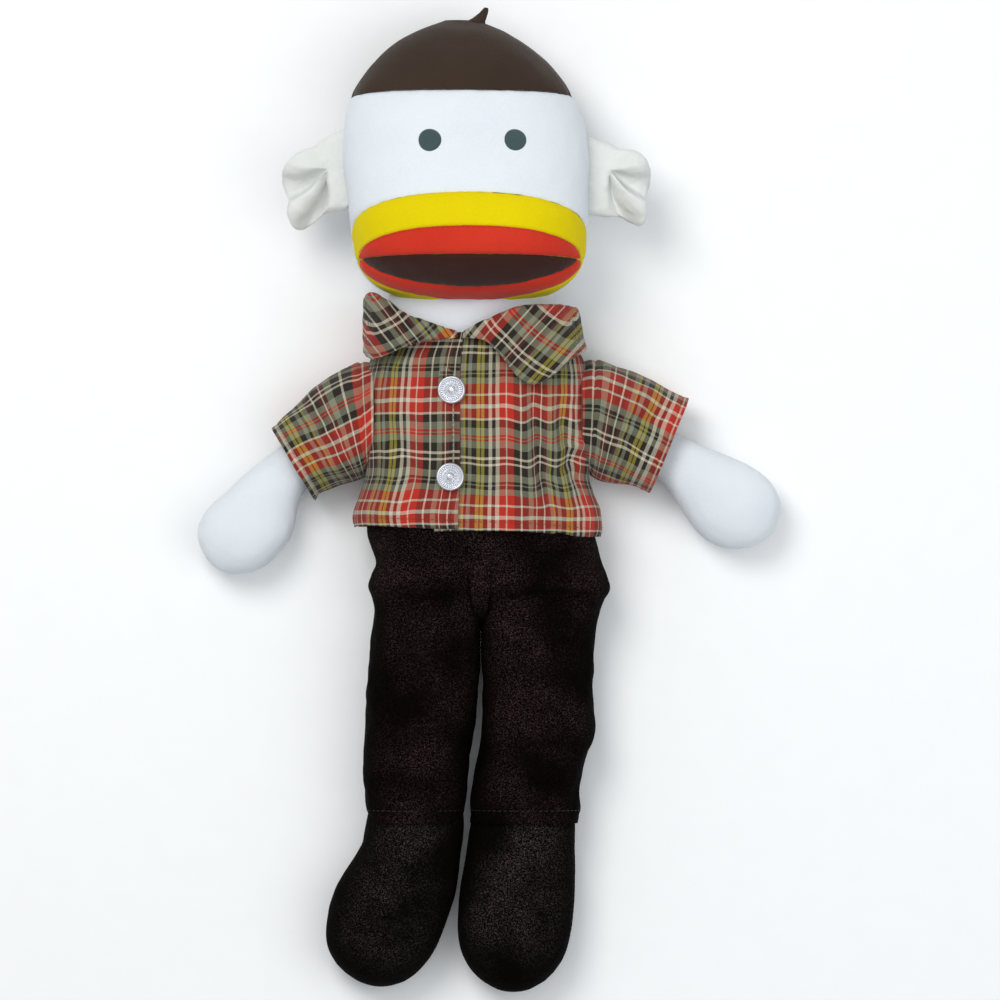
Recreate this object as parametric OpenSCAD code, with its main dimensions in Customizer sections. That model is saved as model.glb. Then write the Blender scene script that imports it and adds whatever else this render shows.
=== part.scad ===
// Stuffed cloth monkey doll, lying on its back. Millimetres.
// +Z points up out of the chest, +Y towards the head, +X towards the doll's own left hand.
// The origin is the middle of the flat on which the back of the shirt rests.

/* [Head] */
// Greatest width of the head
head_w = 134; // [122:1:162]
// Height of the head from chin to crown
head_len = 151.5; // [126:0.5:182]
// Thickness of the head at the brow
head_d = 92; // [78:1:110]
// How far the muzzle stands out past the brow
muzzle_out = 12; // [6:0.5:20]
// Height of the muzzle from chin to its upper seam
muzzle_len = 58; // [46:1:66]
// Width of an ear from its seam to its rim
ear_w = 31.5; // [24:0.5:40]
// Height of an ear along its seam
ear_len = 42; // [32:1:52]
// Diameter of an embroidered eye
eye_dia = 13; // [8:0.5:14]
// Distance between the two eyes
eye_gap = 45.5; // [36:1:58]
// Length of the tuft on the crown
tuft_len = 8; // [4:0.5:14]

/* [Neck and torso] */
// Width of the neck
neck_w = 91; // [78:1:96]
// Thickness of the neck
neck_d = 52; // [42:1:56]
// Width of the stuffed torso at the belly
torso_w = 116; // [104:1:124]
// Thickness of the stuffed torso
torso_d = 62; // [54:1:66]
// Length of the stuffed torso from the hip end to the shoulder end
torso_len = 100.5; // [90:0.5:101]

/* [Arms] */
// Width of the arm inside the sleeve
arm_w = 35; // [28:1:40]
// Thickness of the arm at the elbow
elbow_d = 27; // [22:1:30]
// Width of the mitten hand
hand_w = 48; // [40:1:58]
// Thickness of the mitten hand
hand_d = 36; // [30:1:42]
// Distance from the elbow to the tip of the hand
forearm_len = 65; // [54:1:78]
// Distance from the shoulder hinge to the elbow hinge
upper_arm_len = 46; // [44:1:56]

/* [Legs] */
// Width of a stuffed leg at the thigh
leg_w = 56; // [47:1:57]
// Thickness of a stuffed leg
leg_d = 44; // [37:1:45]
// Distance from the hip hinge to the ankle hinge
leg_len = 129; // [108:1:155]
// Width of a stuffed foot
foot_w = 60; // [50:1:62]
// Thickness of a stuffed foot at the ankle
ankle_d = 38; // [32:1:39]
// Distance from the ankle hinge to the tip of the toe
foot_len = 78; // [65:1:94]

/* [Clothes] */
// Length of the shirt from shoulder to hem
shirt_len = 99; // [83:1:104]
// Diameter of a shirt button
button_dia = 15; // [12:0.5:18]
// Distance between the two buttons
button_pitch = 46; // [38:1:55]
// Width of a sleeve at the cuff
cuff_w = 46; // [42:1:54]
// Height of the standing collar
collar_len = 15; // [10:0.5:18]
// Distance from the trouser hem to the ankle hinge
hem_lift = 12; // [11:0.5:20]

/* [Cloth and clearances] */
// Thickness of the fleece and felt of the doll's skin
skin_t = 1; // [0.8:0.1:1.2]
// Thickness of the shirt cloth
shirt_t = 1; // [0.8:0.1:1.1]
// Thickness of the trouser cloth
denim_t = 1.1; // [0.8:0.1:1.2]
// Gap between a cover and its stuffing
stuffing_gap = 1.2; // [1:0.1:2]
// Gap between the lining of a leg and its trouser leg
lining_gap = 0.3; // [0.3:0.05:0.5]
// Gap between pieces that move against each other
joint_gap = 0.8; // [0.5:0.1:1.2]
// Gap between a garment and the body inside it
ease = 1.4; // [1:0.1:2]

/* [Hidden] */

RIGHT = -1;      // the doll's right hand side, at -X
LEFT = 1;        // the doll's left hand side, at +X
BOXINESS = 2.3;  // exponent of the cross-sections: 2 is an ellipse, more is squarer
SIDES = 16;      // sides round a limb
BODY_SIDES = 24; // sides round the head and the torso
SEAM = 0.15;     // half the gap along a seam between two panels
floor_gap = 0.2; // what lies beside the flat of the back stops this high

// Places along the doll
neck_x = -4;
neck_axis_y = 67; // the neck nods about this line
neck_axis_z = 34;
neck_top_y = neck_axis_y + 12; // where the neck ends and the head begins
chin_y = neck_top_y + 0.5;
crown_y = chin_y + head_len;
torso_top_y = neck_axis_y - neck_d / 2 - joint_gap;
torso_bottom_y = torso_top_y - torso_len;
torso_z = shirt_t + ease;
hip_z = leg_d / 2 + denim_t + lining_gap + floor_gap;
hip_y = torso_bottom_y - joint_gap - hip_z;
ankle_z = floor_gap + denim_t + joint_gap + ankle_d / 2;
shirt_top_y = 56;
hem_y = shirt_top_y - shirt_len;
arm_z = floor_gap + shirt_t + ease;
shoulder_torso_w = torso_w - 28; // the torso is narrower between the arms
shoulder_x = shoulder_torso_w / 2 + joint_gap + arm_w / 2;
shoulder_y = 17;
shirt_side = max(59.5, torso_w / 2 + 1.5);
elbow_z = arm_z + elbow_d / 2;

// ---- Curves and surfaces -------------------------------------------------------------------

// A smooth value, or list of values, through the knots [u, value] at place u
function span(u, knots, i = 0) = (i >= len(knots) - 2 || u <= knots[i + 1][0]) ? i : span(u, knots, i + 1);
function slope(knots, i) =
    let (a = knots[max(i - 1, 0)], b = knots[min(i + 1, len(knots) - 1)]) (b[1] - a[1]) / (b[0] - a[0]);
function curve(u, knots) =
    let (i = span(u, knots), a = knots[i], b = knots[i + 1], w = b[0] - a[0], s = (u - a[0]) / w)
    a[1] * (2 * s ^ 3 - 3 * s ^ 2 + 1) + b[1] * (3 * s ^ 2 - 2 * s ^ 3)
    + slope(knots, i) * (w * (s ^ 3 - 2 * s ^ 2 + s)) + slope(knots, i + 1) * (w * (s ^ 3 - s ^ 2));

// A rounded box: the cosine or sine c of an angle, pushed out towards the corners
function boxed(c, power = BOXINESS) = sign(c) * abs(c) ^ (2 / power);

// A form is a list of [u, [x, y, heading, half width, bottom z, top z]] along a stuffed piece;
// a seventh value is its own boxiness.
// Angle 0 is on the left of the heading, 90 on top. out moves the surface outwards.
function on_form(form, u, angle, out) =
    let (s = curve(u, form), power = len(s) > 6 ? s[6] : BOXINESS,
         across = max(s[3] + out, 0.4) * boxed(cos(angle), power),
         up = max((s[5] - s[4]) / 2 + out, 0.4) * boxed(sin(angle), power))
    [s[0] - sin(s[2]) * across, s[1] + cos(s[2]) * across, (s[4] + s[5]) / 2 + up];

// The angle at which the upper side of a form has the sideways place x
function angle_at(form, u, x) =
    let (s = curve(u, form), c = (s[0] - x) / s[3]) acos(sign(c) * abs(c) ^ (BOXINESS / 2));

// Steps from 0 to 1 that crowd together at both ends
function eased(i, n) = (1 - cos(180 * i / n)) / 2;
function quads(a, b, c, d) = [[a, b, c], [a, c, d]];
function joined(lists) = [for (l = lists) for (x = l) x];
function bump(y, low, high) = (y <= low || y >= high) ? 0 : sqrt(sin(180 * (y - low) / (high - low)));

// A closed stuffed solid between places u0 and u1 of a form
module stuffed(form, u0, u1, out = 0, rows = 9, sides = SIDES) {
    points = [for (i = [0:rows]) for (j = [0:sides - 1])
        on_form(form, u0 + (u1 - u0) * eased(i, rows), 360 * j / sides, out)];
    walls = joined([for (i = [0:rows - 1]) for (j = [0:sides - 1]) let (k = (j + 1) % sides)
        quads(i * sides + j, (i + 1) * sides + j, (i + 1) * sides + k, i * sides + k)]);
    start = [for (j = [0:sides - 1]) j];
    end = [for (j = [0:sides - 1]) rows * sides + sides - 1 - j];
    polyhedron(points, concat([start, end], walls), convexity = 4);
}

// A cloth tube of a form, open at u0, and sewn shut at u1 if closed is true
module tube(form, u0, u1, outer = 0, thick = skin_t, closed = false, rows = 8, sides = SIDES) {
    inner_u1 = closed ? u1 - thick : u1;
    points = joined([for (wall = [0, 1]) [for (i = [0:rows]) for (j = [0:sides - 1])
        on_form(form, u0 + ((wall == 0 ? u1 : inner_u1) - u0) * eased(i, rows), 360 * j / sides,
                outer - wall * thick)]]);
    inside = (rows + 1) * sides;
    last = rows * sides;
    outer_wall = joined([for (i = [0:rows - 1]) for (j = [0:sides - 1]) let (k = (j + 1) % sides)
        quads(i * sides + j, (i + 1) * sides + j, (i + 1) * sides + k, i * sides + k)]);
    inner_wall = [for (f = outer_wall) [f[2] + inside, f[1] + inside, f[0] + inside]];
    start_rim = joined([for (j = [0:sides - 1]) let (k = (j + 1) % sides)
        quads(j, k, inside + k, inside + j)]);
    end_rim = joined([for (j = [0:sides - 1]) let (k = (j + 1) % sides)
        quads(last + k, last + j, inside + last + j, inside + last + k)]);
    end_caps = [[for (j = [0:sides - 1]) last + sides - 1 - j], [for (j = [0:sides - 1]) inside + last + j]];
    polyhedron(points, concat(outer_wall, inner_wall, start_rim, closed ? end_caps : end_rim), convexity = 6);
}

// A cloth panel of a form, from low(angle) to high(angle) along it and from a0(u) to a1(u) round it
module panel(form, low, high, a0, a1, outer = 0, thick = skin_t, rows = 8, cols = 12) {
    function at(s, t, out) =
        let (mid = (a0(0) + a1(0)) / 2, near = low(mid) + (high(mid) - low(mid)) * s,
             angle = a0(near) + (a1(near) - a0(near)) * t)
        on_form(form, low(angle) + (high(angle) - low(angle)) * s, angle, out);
    points = joined([for (out = [outer, outer - thick]) [for (i = [0:rows]) for (j = [0:cols])
        at(i / rows, j / cols, out)]]);
    n = cols + 1;
    inside = (rows + 1) * n;
    last = rows * n;
    outer_wall = joined([for (i = [0:rows - 1]) for (j = [0:cols - 1])
        quads(i * n + j, (i + 1) * n + j, (i + 1) * n + j + 1, i * n + j + 1)]);
    inner_wall = [for (f = outer_wall) [f[2] + inside, f[1] + inside, f[0] + inside]];
    start_edge = joined([for (j = [0:cols - 1]) quads(j, j + 1, inside + j + 1, inside + j)]);
    end_edge = joined([for (j = [0:cols - 1])
        quads(last + j + 1, last + j, inside + last + j, inside + last + j + 1)]);
    first_side = joined([for (i = [0:rows - 1])
        quads((i + 1) * n, i * n, inside + i * n, inside + (i + 1) * n)]);
    second_side = joined([for (i = [0:rows - 1])
        quads(i * n + cols, (i + 1) * n + cols, inside + (i + 1) * n + cols, inside + i * n + cols)]);
    polyhedron(points, concat(outer_wall, inner_wall, start_edge, end_edge, first_side, second_side),
               convexity = 6);
}

// Puts what is drawn on the XY plane onto the surface of a form
module on_surface(form, u, angle, out) {
    p = on_form(form, u, angle, out);
    along = on_form(form, u + 0.5, angle, out) - p;
    round = on_form(form, u, angle - 1, out) - p;
    normal = cross(along, round) / norm(cross(along, round));
    side = round / norm(round);
    up = cross(normal, side);
    multmatrix([[side[0], up[0], normal[0], p[0]], [side[1], up[1], normal[1], p[1]],
                [side[2], up[2], normal[2], p[2]], [0, 0, 0, 1]]) children();
}

// ---- Forms of the doll ---------------------------------------------------------------------

// The head leans a little to the doll's right. Its muzzle stands out past the brow.
function head_at(part) = chin_y + head_len * part;
head_half = head_w / 2;
head_z = 0.6;
head_form = [for (k = [
    // part of the length, sideways, part of the half width, back, part of the thickness, part of the muzzle
    [0,     -4,    0.50, 10,  0.60, 0],
    [0.02,  -4,    0.62, 7,   0.72, 0.1],
    [0.06,  -4.1,  0.77, 4,   0.86, 0.3],
    [0.1,   -4.2,  0.86, 2,   0.95, 0.5],
    [0.15,  -4.4,  0.92, 0.5, 1,    0.75],
    [0.22,  -4.7,  0.945, 0,  1,    0.97],
    [0.3,   -5,    0.965, 0,  1,    1],
    [0.4,   -5.8,  0.985, 0,  1,    0.55],
    [0.52,  -6.6,  1,    0,   1,    0.08],
    [0.64,  -7.4,  0.99, 0,   0.985, 0],
    [0.74,  -8.6,  0.91, 2,   0.93, 0],
    [0.83,  -9.4,  0.75, 6,   0.84, 0],
    [0.9,   -9.7,  0.59, 12,  0.74, 0],
    [0.96,  -9.4,  0.37, 22,  0.62, 0],
    [1,     -8.8,  0.13, 34,  0.47, 0]])
    [head_at(k[0]), [k[1], head_at(k[0]), 90, head_half * k[2], head_z + k[3],
                     head_z + head_d * k[4] + muzzle_out * k[5]]]];
function hairline(a) = head_at(0.735 + 0.012 * sin(min(a, 180)) + (a > 180 ? 0.2 * sin(a) : 0));
function muzzle_seam(a) = chin_y + muzzle_len * (0.66 + 0.34 * sin(a));
// The lips are a smile: their corners sit higher than their middle
function lips_top(a) = chin_y + muzzle_len * (0.56 + 0.15 * sin(2 * a - 90));
function mouth_top(a) = chin_y + muzzle_len * (0.47 - 0.1 * sin(a) ^ 2 + 0.02 * sin(2 * a - 90));
function mouth_bottom(a) = chin_y + muzzle_len * (0.435 - 0.25 * sin(a) ^ 2);
function lips_bottom(a) = chin_y + muzzle_len * (0.36 - 0.33 * sin(a) ^ 2);

module face_panel() {
    color("white") panel(head_form, function(a) muzzle_seam(a) + SEAM, function(a) hairline(a) - SEAM,
        function(y) SEAM / 2, function(y) 180 - SEAM / 2, rows = 8, cols = 16);
}
module muzzle_panel() {
    color("yellow") panel(head_form, function(a) chin_y, function(a) muzzle_seam(a) - SEAM,
        function(y) SEAM / 2, function(y) 180 - SEAM / 2, rows = 8, cols = 16);
}
module head_back_panel() {
    color("white") panel(head_form, function(a) chin_y, function(a) hairline(a) - SEAM,
        function(y) 180 + SEAM / 2, function(y) 360 - SEAM / 2, rows = 12, cols = 16);
}
module crown_front() {
    color("sienna") panel(head_form, function(a) hairline(a) + SEAM, function(a) crown_y,
        function(y) SEAM, function(y) 180 - SEAM, rows = 6, cols = 16);
}
module crown_back() {
    color("sienna") panel(head_form, function(a) hairline(a) + SEAM, function(a) crown_y,
        function(y) 180 + SEAM, function(y) 360 - SEAM, rows = 7, cols = 16);
}
module lip_upper() {
    color("red") panel(head_form, function(a) mouth_top(a) + SEAM, function(a) lips_top(a),
        function(y) 32, function(y) 148, outer = 2, thick = 1.6, rows = 3, cols = 12);
}
module mouth_patch() {
    color("maroon") panel(head_form, function(a) mouth_bottom(a) + SEAM, function(a) mouth_top(a) - SEAM,
        function(y) 32, function(y) 148, outer = 1.5, thick = 1.1, rows = 3, cols = 12);
}
module lip_lower() {
    color("red") panel(head_form, function(a) lips_bottom(a), function(a) mouth_bottom(a) - SEAM,
        function(y) 32, function(y) 148, outer = 2, thick = 1.6, rows = 3, cols = 12);
}
module head_stuffing() {
    color("ivory") stuffed(head_form, head_at(0.05), head_at(0.94),
        out = -skin_t - stuffing_gap - 2, rows = 13, sides = BODY_SIDES);
}
module crown_tuft() {
    color("sienna") translate([-2.5, crown_y + 0.5, head_z + 0.55 * head_d - 12])
        rotate([-90, 0, -12]) cylinder(h = tuft_len, r1 = 5, r2 = 0.8, $fn = 24);
}
eyes_x = -3; // the middle between the eyes
module eye(side) {
    u = head_at(0.58);
    color("darkslategray") on_surface(head_form, u, angle_at(head_form, u, eyes_x + side * eye_gap / 2), 0.35)
        rotate_extrude($fn = 32) polygon([[0, 0], [eye_dia / 2, 0], [eye_dia / 2, 0.5],
            [eye_dia * 0.42, 1.1], [eye_dia * 0.2, 1.5], [0, 1.6]]);
}
module eye_left() { eye(LEFT); }
module eye_right() { eye(RIGHT); }

// Each ear hangs on its sewn root and swings about the line ear_axis
ear_y = head_at(0.43);
ear_root = 4.5;
ear_z = head_z + 0.5 * head_d;
function ear_axis_x(side) = curve(ear_y, head_form)[0] + side * (head_half + ear_root + 0.5);
function ear_form(side) = [for (k = [
    // distance from the axis, half height, half thickness, droop
    [-4, 0.33, 1.6, 0], [-2.5, 0.4, 3, 0], [0, 0.46, 4, 0], [4, 0.5, 4.6, -0.5],
    [10, 0.56, 4.4, -1.5], [16, 0.575, 3.8, -2], [21, 0.55, 3.2, -2.5], [25, 0.47, 2.6, -3],
    [28, 0.32, 1.8, -3.2], [29, 0.2, 1.2, -3.2]])
    let (d = k[0] < 0 ? k[0] : k[0] * (ear_w - 4) / 29)
    [d, [ear_axis_x(side) + side * d, ear_y + 0.12 * k[3] - 0.06 * d, side > 0 ? 0 : 180, ear_len * k[1],
         ear_z + k[3] - k[2], ear_z + k[3] + k[2]]]];
module ear(side) {
    color("ghostwhite") stuffed(ear_form(side), -4, ear_w - 4, rows = 9, sides = 14);
}
module ear_left() { ear(LEFT); }
module ear_right() { ear(RIGHT); }

// The neck is a barrel: it rolls about the nodding axis
neck_r = neck_d / 2;
neck_form = [for (k = [-1, -0.97, -0.87, -0.7, -0.45, -0.2, 0, 0.25, 0.5])
    let (v = k <= 0 ? k * neck_r : (neck_top_y - neck_axis_y) * k * 2,
         r = v < 0 ? sqrt(max(neck_r ^ 2 - v ^ 2, 4)) : neck_r)
    [v, [neck_x, neck_axis_y + v, 90, neck_w / 2 * (v < 0 ? 0.86 + 0.14 * r / neck_r : 1),
         neck_axis_z - r, neck_axis_z + r]]];
module neck_cover() {
    color("white") difference() {
        stuffed(neck_form, -neck_r, neck_top_y - neck_axis_y, rows = 10, sides = BODY_SIDES);
        stuffed(neck_form, -neck_r + skin_t, neck_top_y - neck_axis_y + 0.5, out = -skin_t,
            rows = 10, sides = BODY_SIDES);
    }
}
module neck_stuffing() {
    color("ivory") stuffed(neck_form, -neck_r + skin_t + stuffing_gap + 1, neck_top_y - neck_axis_y,
        out = -skin_t - stuffing_gap, rows = 8, sides = BODY_SIDES);
}

// The torso is broad at the belly and narrower between the arms
torso_form = [for (k = [
    // part of the length, part of the way from the shoulder width to the belly width, bottom, top
    [0, 0.9, 6, 0.78], [0.05, 0.97, 2.5, 0.9], [0.15, 1, 0.5, 0.98], [0.3, 1, 0, 1],
    [0.42, 0.7, 0, 1], [0.55, 0.15, 0, 0.99], [0.66, 0, 0, 0.97], [0.8, 0, 0.5, 0.95],
    [0.93, 0, 2.5, 0.9], [1, -0.1, 5, 0.84]])
    [torso_bottom_y + torso_len * k[0], [0, torso_bottom_y + torso_len * k[0], 90,
        shoulder_torso_w / 2 + (torso_w - shoulder_torso_w) / 2 * k[1],
        torso_z + k[2], torso_z + torso_d * k[3]]]];
module torso_front_panel() {
    color("white") panel(torso_form, function(a) torso_bottom_y, function(a) torso_top_y,
        function(y) SEAM / 2, function(y) 180 - SEAM / 2, rows = 14, cols = 12);
}
module torso_back_panel() {
    color("white") panel(torso_form, function(a) torso_bottom_y, function(a) torso_top_y,
        function(y) 180 + SEAM / 2, function(y) 360 - SEAM / 2, rows = 14, cols = 12);
}
module torso_stuffing() {
    color("ivory") stuffed(torso_form, torso_bottom_y + 3, torso_top_y - 3,
        out = -skin_t - stuffing_gap - 1, rows = 12, sides = BODY_SIDES);
}

// ---- Arms ----------------------------------------------------------------------------------

// Headings of the upper arm, of the elbow and of the hand, as they lie
function arm_heading(side) = side > 0 ? -25 : 212.5;
function elbow_heading(side) = side > 0 ? -31 : 223;
function hand_heading(side) = side > 0 ? -40 : 236;
function ray(from, heading, d) = [from[0] + d * cos(heading), from[1] + d * sin(heading)];
function shoulder(side) = [side * shoulder_x, shoulder_y];
function elbow(side) = ray(shoulder(side), arm_heading(side), upper_arm_len);
arm_half = arm_w / 2;
upper_arm_end = upper_arm_len - elbow_d / 2 - joint_gap;
function upper_arm_form(side) = [for (k = [-0.97, -0.9, -0.75, -0.5, -0.2, 0])
        let (d = k * arm_half, w = sqrt(arm_half ^ 2 - d ^ 2), rise = 8 * (1 - w / arm_half),
             p = ray(shoulder(side), arm_heading(side), d))
        [d, [p[0], p[1], arm_heading(side), w, arm_z + rise, arm_z + 31 - rise]],
    for (k = [0.4, 0.75, 1])
        let (d = k * upper_arm_end, p = ray(shoulder(side), arm_heading(side), d))
        [d, [p[0], p[1], k == 1 ? elbow_heading(side) : arm_heading(side), arm_half,
             arm_z, arm_z + 31 - 3 * k]]];
module upper_arm_cover(side) {
    color("white") difference() {
        stuffed(upper_arm_form(side), -0.97 * arm_half, upper_arm_end, rows = 9);
        stuffed(upper_arm_form(side), -0.97 * arm_half + skin_t, upper_arm_end + 1, out = -skin_t, rows = 9);
    }
}
module upper_arm_stuffing(side) {
    color("ivory") stuffed(upper_arm_form(side), -0.97 * arm_half + skin_t + 2, upper_arm_end,
        out = -skin_t - stuffing_gap, rows = 8);
}
elbow_r = elbow_d / 2;
function hand_form(side) = concat(
    [for (k = [-0.99, -0.93, -0.8, -0.55, -0.25, 0])
        let (d = k * elbow_r, r = sqrt(elbow_r ^ 2 - d ^ 2), p = ray(elbow(side), elbow_heading(side), d))
        [d, [p[0], p[1], elbow_heading(side), arm_half - 0.5, elbow_z - r, elbow_z + r]]],
    [for (k = [
        // part of the length, part of the half width, part of the thickness, part of the turn
        [0.14, 0.37, 0.39, 0.2], [0.3, 0.43, 0.45, 0.7], [0.46, 0.48, 0.495, 1], [0.62, 0.5, 0.5, 1],
        [0.76, 0.47, 0.47, 1], [0.88, 0.375, 0.38, 1], [0.96, 0.24, 0.25, 1], [1, 0.1, 0.11, 1]])
        let (d = k[0] * forearm_len, swing = (hand_heading(side) - elbow_heading(side)) * k[3],
             p = ray(elbow(side), elbow_heading(side) + 0.7 * swing, d),
             half_d = max(hand_d * k[2], k[0] < 0.2 ? elbow_r : 0),
             mid = max(elbow_z + (floor_gap + hand_d / 2 - elbow_z) * min(k[0] * 2, 1), floor_gap + half_d))
        [d, [p[0], p[1], elbow_heading(side) + swing, hand_w * k[1], mid - half_d, mid + half_d]]]);
module hand_cover(side) {
    color("white") difference() {
        stuffed(hand_form(side), -0.99 * elbow_r, forearm_len, rows = 12);
        stuffed(hand_form(side), -0.99 * elbow_r + skin_t, forearm_len - skin_t, out = -skin_t, rows = 11);
    }
}
module hand_stuffing(side) {
    color("ivory") stuffed(hand_form(side), -0.99 * elbow_r + skin_t + 2, forearm_len - skin_t - 3,
        out = -skin_t - stuffing_gap, rows = 10);
}
module upper_arm_cover_left() { upper_arm_cover(LEFT); }
module upper_arm_cover_right() { upper_arm_cover(RIGHT); }
module upper_arm_stuffing_left() { upper_arm_stuffing(LEFT); }
module upper_arm_stuffing_right() { upper_arm_stuffing(RIGHT); }
module hand_cover_left() { hand_cover(LEFT); }
module hand_cover_right() { hand_cover(RIGHT); }
module hand_stuffing_left() { hand_stuffing(LEFT); }
module hand_stuffing_right() { hand_stuffing(RIGHT); }

// ---- Legs and feet -------------------------------------------------------------------------

function hip_x(side) = side > 0 ? leg_w / 2 + 4.6 : -leg_w / 2 - 1.4;
function leg_heading(side) = side > 0 ? -94.2 : -92.6;
function foot_heading(side) = side > 0 ? -94 : -104;
function along_leg(side, d) = ray([hip_x(side), hip_y], leg_heading(side), d);
leg_r = leg_d / 2;
leg_end = leg_len - ankle_d / 2 - joint_gap - leg_w * 0.05;
function leg_form(side) = concat(
    [for (k = [-0.99, -0.93, -0.8, -0.55, -0.25, 0])
        let (d = k * leg_r, r = sqrt(leg_r ^ 2 - d ^ 2), p = along_leg(side, d))
        [d, [p[0], p[1], -90, leg_w / 2 * (0.82 + 0.06 * r / leg_r), hip_z - r, hip_z + r]]],
    [for (k = [0.3, 0.6, 0.85, 1])
        let (d = k * leg_len, p = along_leg(side, d))
        [d, [p[0], p[1], leg_heading(side), leg_w / 2 * (1 - 0.05 * k) * (k < 0.5 ? 0.99 : 1),
             hip_z - leg_r, hip_z + leg_r * (1 - 0.1 * k)]]]);
module leg_cover(side) {
    color("dimgray") difference() {
        stuffed(leg_form(side), -0.99 * leg_r, leg_end, rows = 10);
        stuffed(leg_form(side), -0.99 * leg_r + skin_t, leg_end + 1, out = -skin_t, rows = 10);
    }
}
module leg_stuffing(side) {
    color("ivory") stuffed(leg_form(side), -0.99 * leg_r + skin_t + 2.5, leg_end,
        out = -skin_t - stuffing_gap, rows = 9);
}
module trouser_leg(side) {
    color("#222222") tube(leg_form(side), 0, leg_len - hem_lift, outer = denim_t + lining_gap,
        thick = denim_t, rows = 9, sides = 20);
}
module leg_cover_left() { leg_cover(LEFT); }
module leg_cover_right() { leg_cover(RIGHT); }
module leg_stuffing_left() { leg_stuffing(LEFT); }
module leg_stuffing_right() { leg_stuffing(RIGHT); }
module trouser_leg_left() { trouser_leg(LEFT); }
module trouser_leg_right() { trouser_leg(RIGHT); }

ankle_r = ankle_d / 2;
function ankle(side) = along_leg(side, leg_len);
function foot_form(side) = concat(
    [for (k = [-0.99, -0.93, -0.8, -0.55, -0.25, 0])
        let (d = k * ankle_r, r = sqrt(ankle_r ^ 2 - d ^ 2), p = ray(ankle(side), -90, d))
        [d, [p[0], p[1], -90, foot_w / 2 - 4.5 - 6 * (1 - r / ankle_r), ankle_z - r, ankle_z + r]]],
    [for (k = [
        // part of the length, inset of the half width, part of the thickness, part of the turn
        [0.12, 4, 1, 0.3], [0.28, 2, 1.04, 0.8], [0.48, 0, 1.1, 1], [0.66, 0.3, 1.1, 1],
        [0.81, 4.5, 0.98, 1], [0.92, 12, 0.74, 1], [1, 23, 0.3, 1]])
        let (d = k[0] * foot_len, turn = -90 + (foot_heading(side) + 90) * k[3],
             p = ray(ankle(side), -90 + (foot_heading(side) + 90) * min(k[0] * 2.2, 1), d),
             half_d = ankle_r * k[2])
        [d, [p[0], p[1], turn, foot_w / 2 - k[1], max(ankle_z - half_d, floor_gap),
             max(ankle_z - half_d, floor_gap) + 2 * half_d]]]);
module foot_upper(side) {
    color("#222222") panel(foot_form(side), function(a) -0.99 * ankle_r, function(a) foot_len,
        function(d) SEAM, function(d) 180 - SEAM, rows = 11, cols = 10);
}
module foot_sole(side) {
    color("#333333") panel(foot_form(side), function(a) -0.99 * ankle_r, function(a) foot_len,
        function(d) 180 + SEAM, function(d) 360 - SEAM, rows = 11, cols = 10);
}
module foot_stuffing(side) {
    color("ivory") stuffed(foot_form(side), -0.99 * ankle_r + skin_t + 5, foot_len - skin_t - 9,
        out = -skin_t - stuffing_gap - 1, rows = 10);
}
module foot_upper_left() { foot_upper(LEFT); }
module foot_upper_right() { foot_upper(RIGHT); }
module foot_sole_left() { foot_sole(LEFT); }
module foot_sole_right() { foot_sole(RIGHT); }
module foot_stuffing_left() { foot_stuffing(LEFT); }
module foot_stuffing_right() { foot_stuffing(RIGHT); }

// ---- Shirt ---------------------------------------------------------------------------------

// The armholes open in the side seams between these two places
armhole_low = shoulder_y - arm_half - 8;
armhole_high = shoulder_y + arm_half + 8;
shirt_z = -1;
shirt_top_z = torso_z + torso_d + ease + shirt_t;
shirt_form = [for (k = [
    // part of the length from the hem, half width past the side, lift of the back, drop of the front
    [0, 6.5, 0, 0.5], [0.1, 6, 0, 0.2], [0.18, 3.4, 0, 0], [0.25, 0.8, 0, 0], [0.3, 0, 0, 0],
    [0.6, 0, 0, 0.3], [0.8, -0.5, 0, 1], [0.92, -2.5, 0.5, 2], [1, -6.5, 2.2, 3.5]])
    [hem_y + shirt_len * k[0], [0, hem_y + shirt_len * k[0], 90, shirt_side + k[1], shirt_z + k[2],
                                shirt_top_z - k[3]]]];
placket = 82;   // angle of the edge of the overlapping front
underlap = 70;  // angle of the edge of the front below it
module shirt_back() {
    color("firebrick") intersection() {
        panel(shirt_form, function(a) hem_y, function(a) shirt_top_y,
            function(y) 180 + SEAM + 68 * bump(y, armhole_low, armhole_high),
            function(y) 360 - SEAM - 68 * bump(y, armhole_low, armhole_high),
            thick = 2 * shirt_t, rows = 14, cols = 14);
        translate([-head_w, hem_y - 20, 0]) cube([2 * head_w, shirt_len + 40, 2 * head_d]);
    }
}
module shirt_front_left() {
    color("indianred") panel(shirt_form, function(a) hem_y, function(a) shirt_top_y,
        function(y) underlap, function(y) 180 - SEAM - 27 * bump(y, armhole_low, armhole_high),
        thick = shirt_t, rows = 14, cols = 12);
}
module shirt_front_right() {
    color("firebrick") panel(shirt_form, function(a) hem_y, function(a) shirt_top_y,
        function(y) SEAM + 27 * bump(y, armhole_low, armhole_high), function(y) placket,
        outer = shirt_t + 0.3, thick = shirt_t, rows = 14, cols = 10);
}
function sleeve_form(side) = let (a = side * (shirt_side + 2.4), e = elbow(side), h = side > 0 ? 0 : 180)
    [for (k = [
        // part of the way from the armhole to the cuff, part of the turn, half width, top
        [0, 0, 29.5, 47], [0.15, 0.35, 29.5, 48], [0.4, 0.8, 28, 47], [0.7, 1, cuff_w / 2 + 2, 43.5],
        [1, 1, cuff_w / 2, 40.5]])
        let (turn = h + (elbow_heading(side) - h) * k[1])
        [k[0], [a + (e[0] - a) * k[0], shoulder_y + (e[1] - shoulder_y) * k[0] ^ 1.1, turn,
                k[2], floor_gap, k[3]]]];
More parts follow.
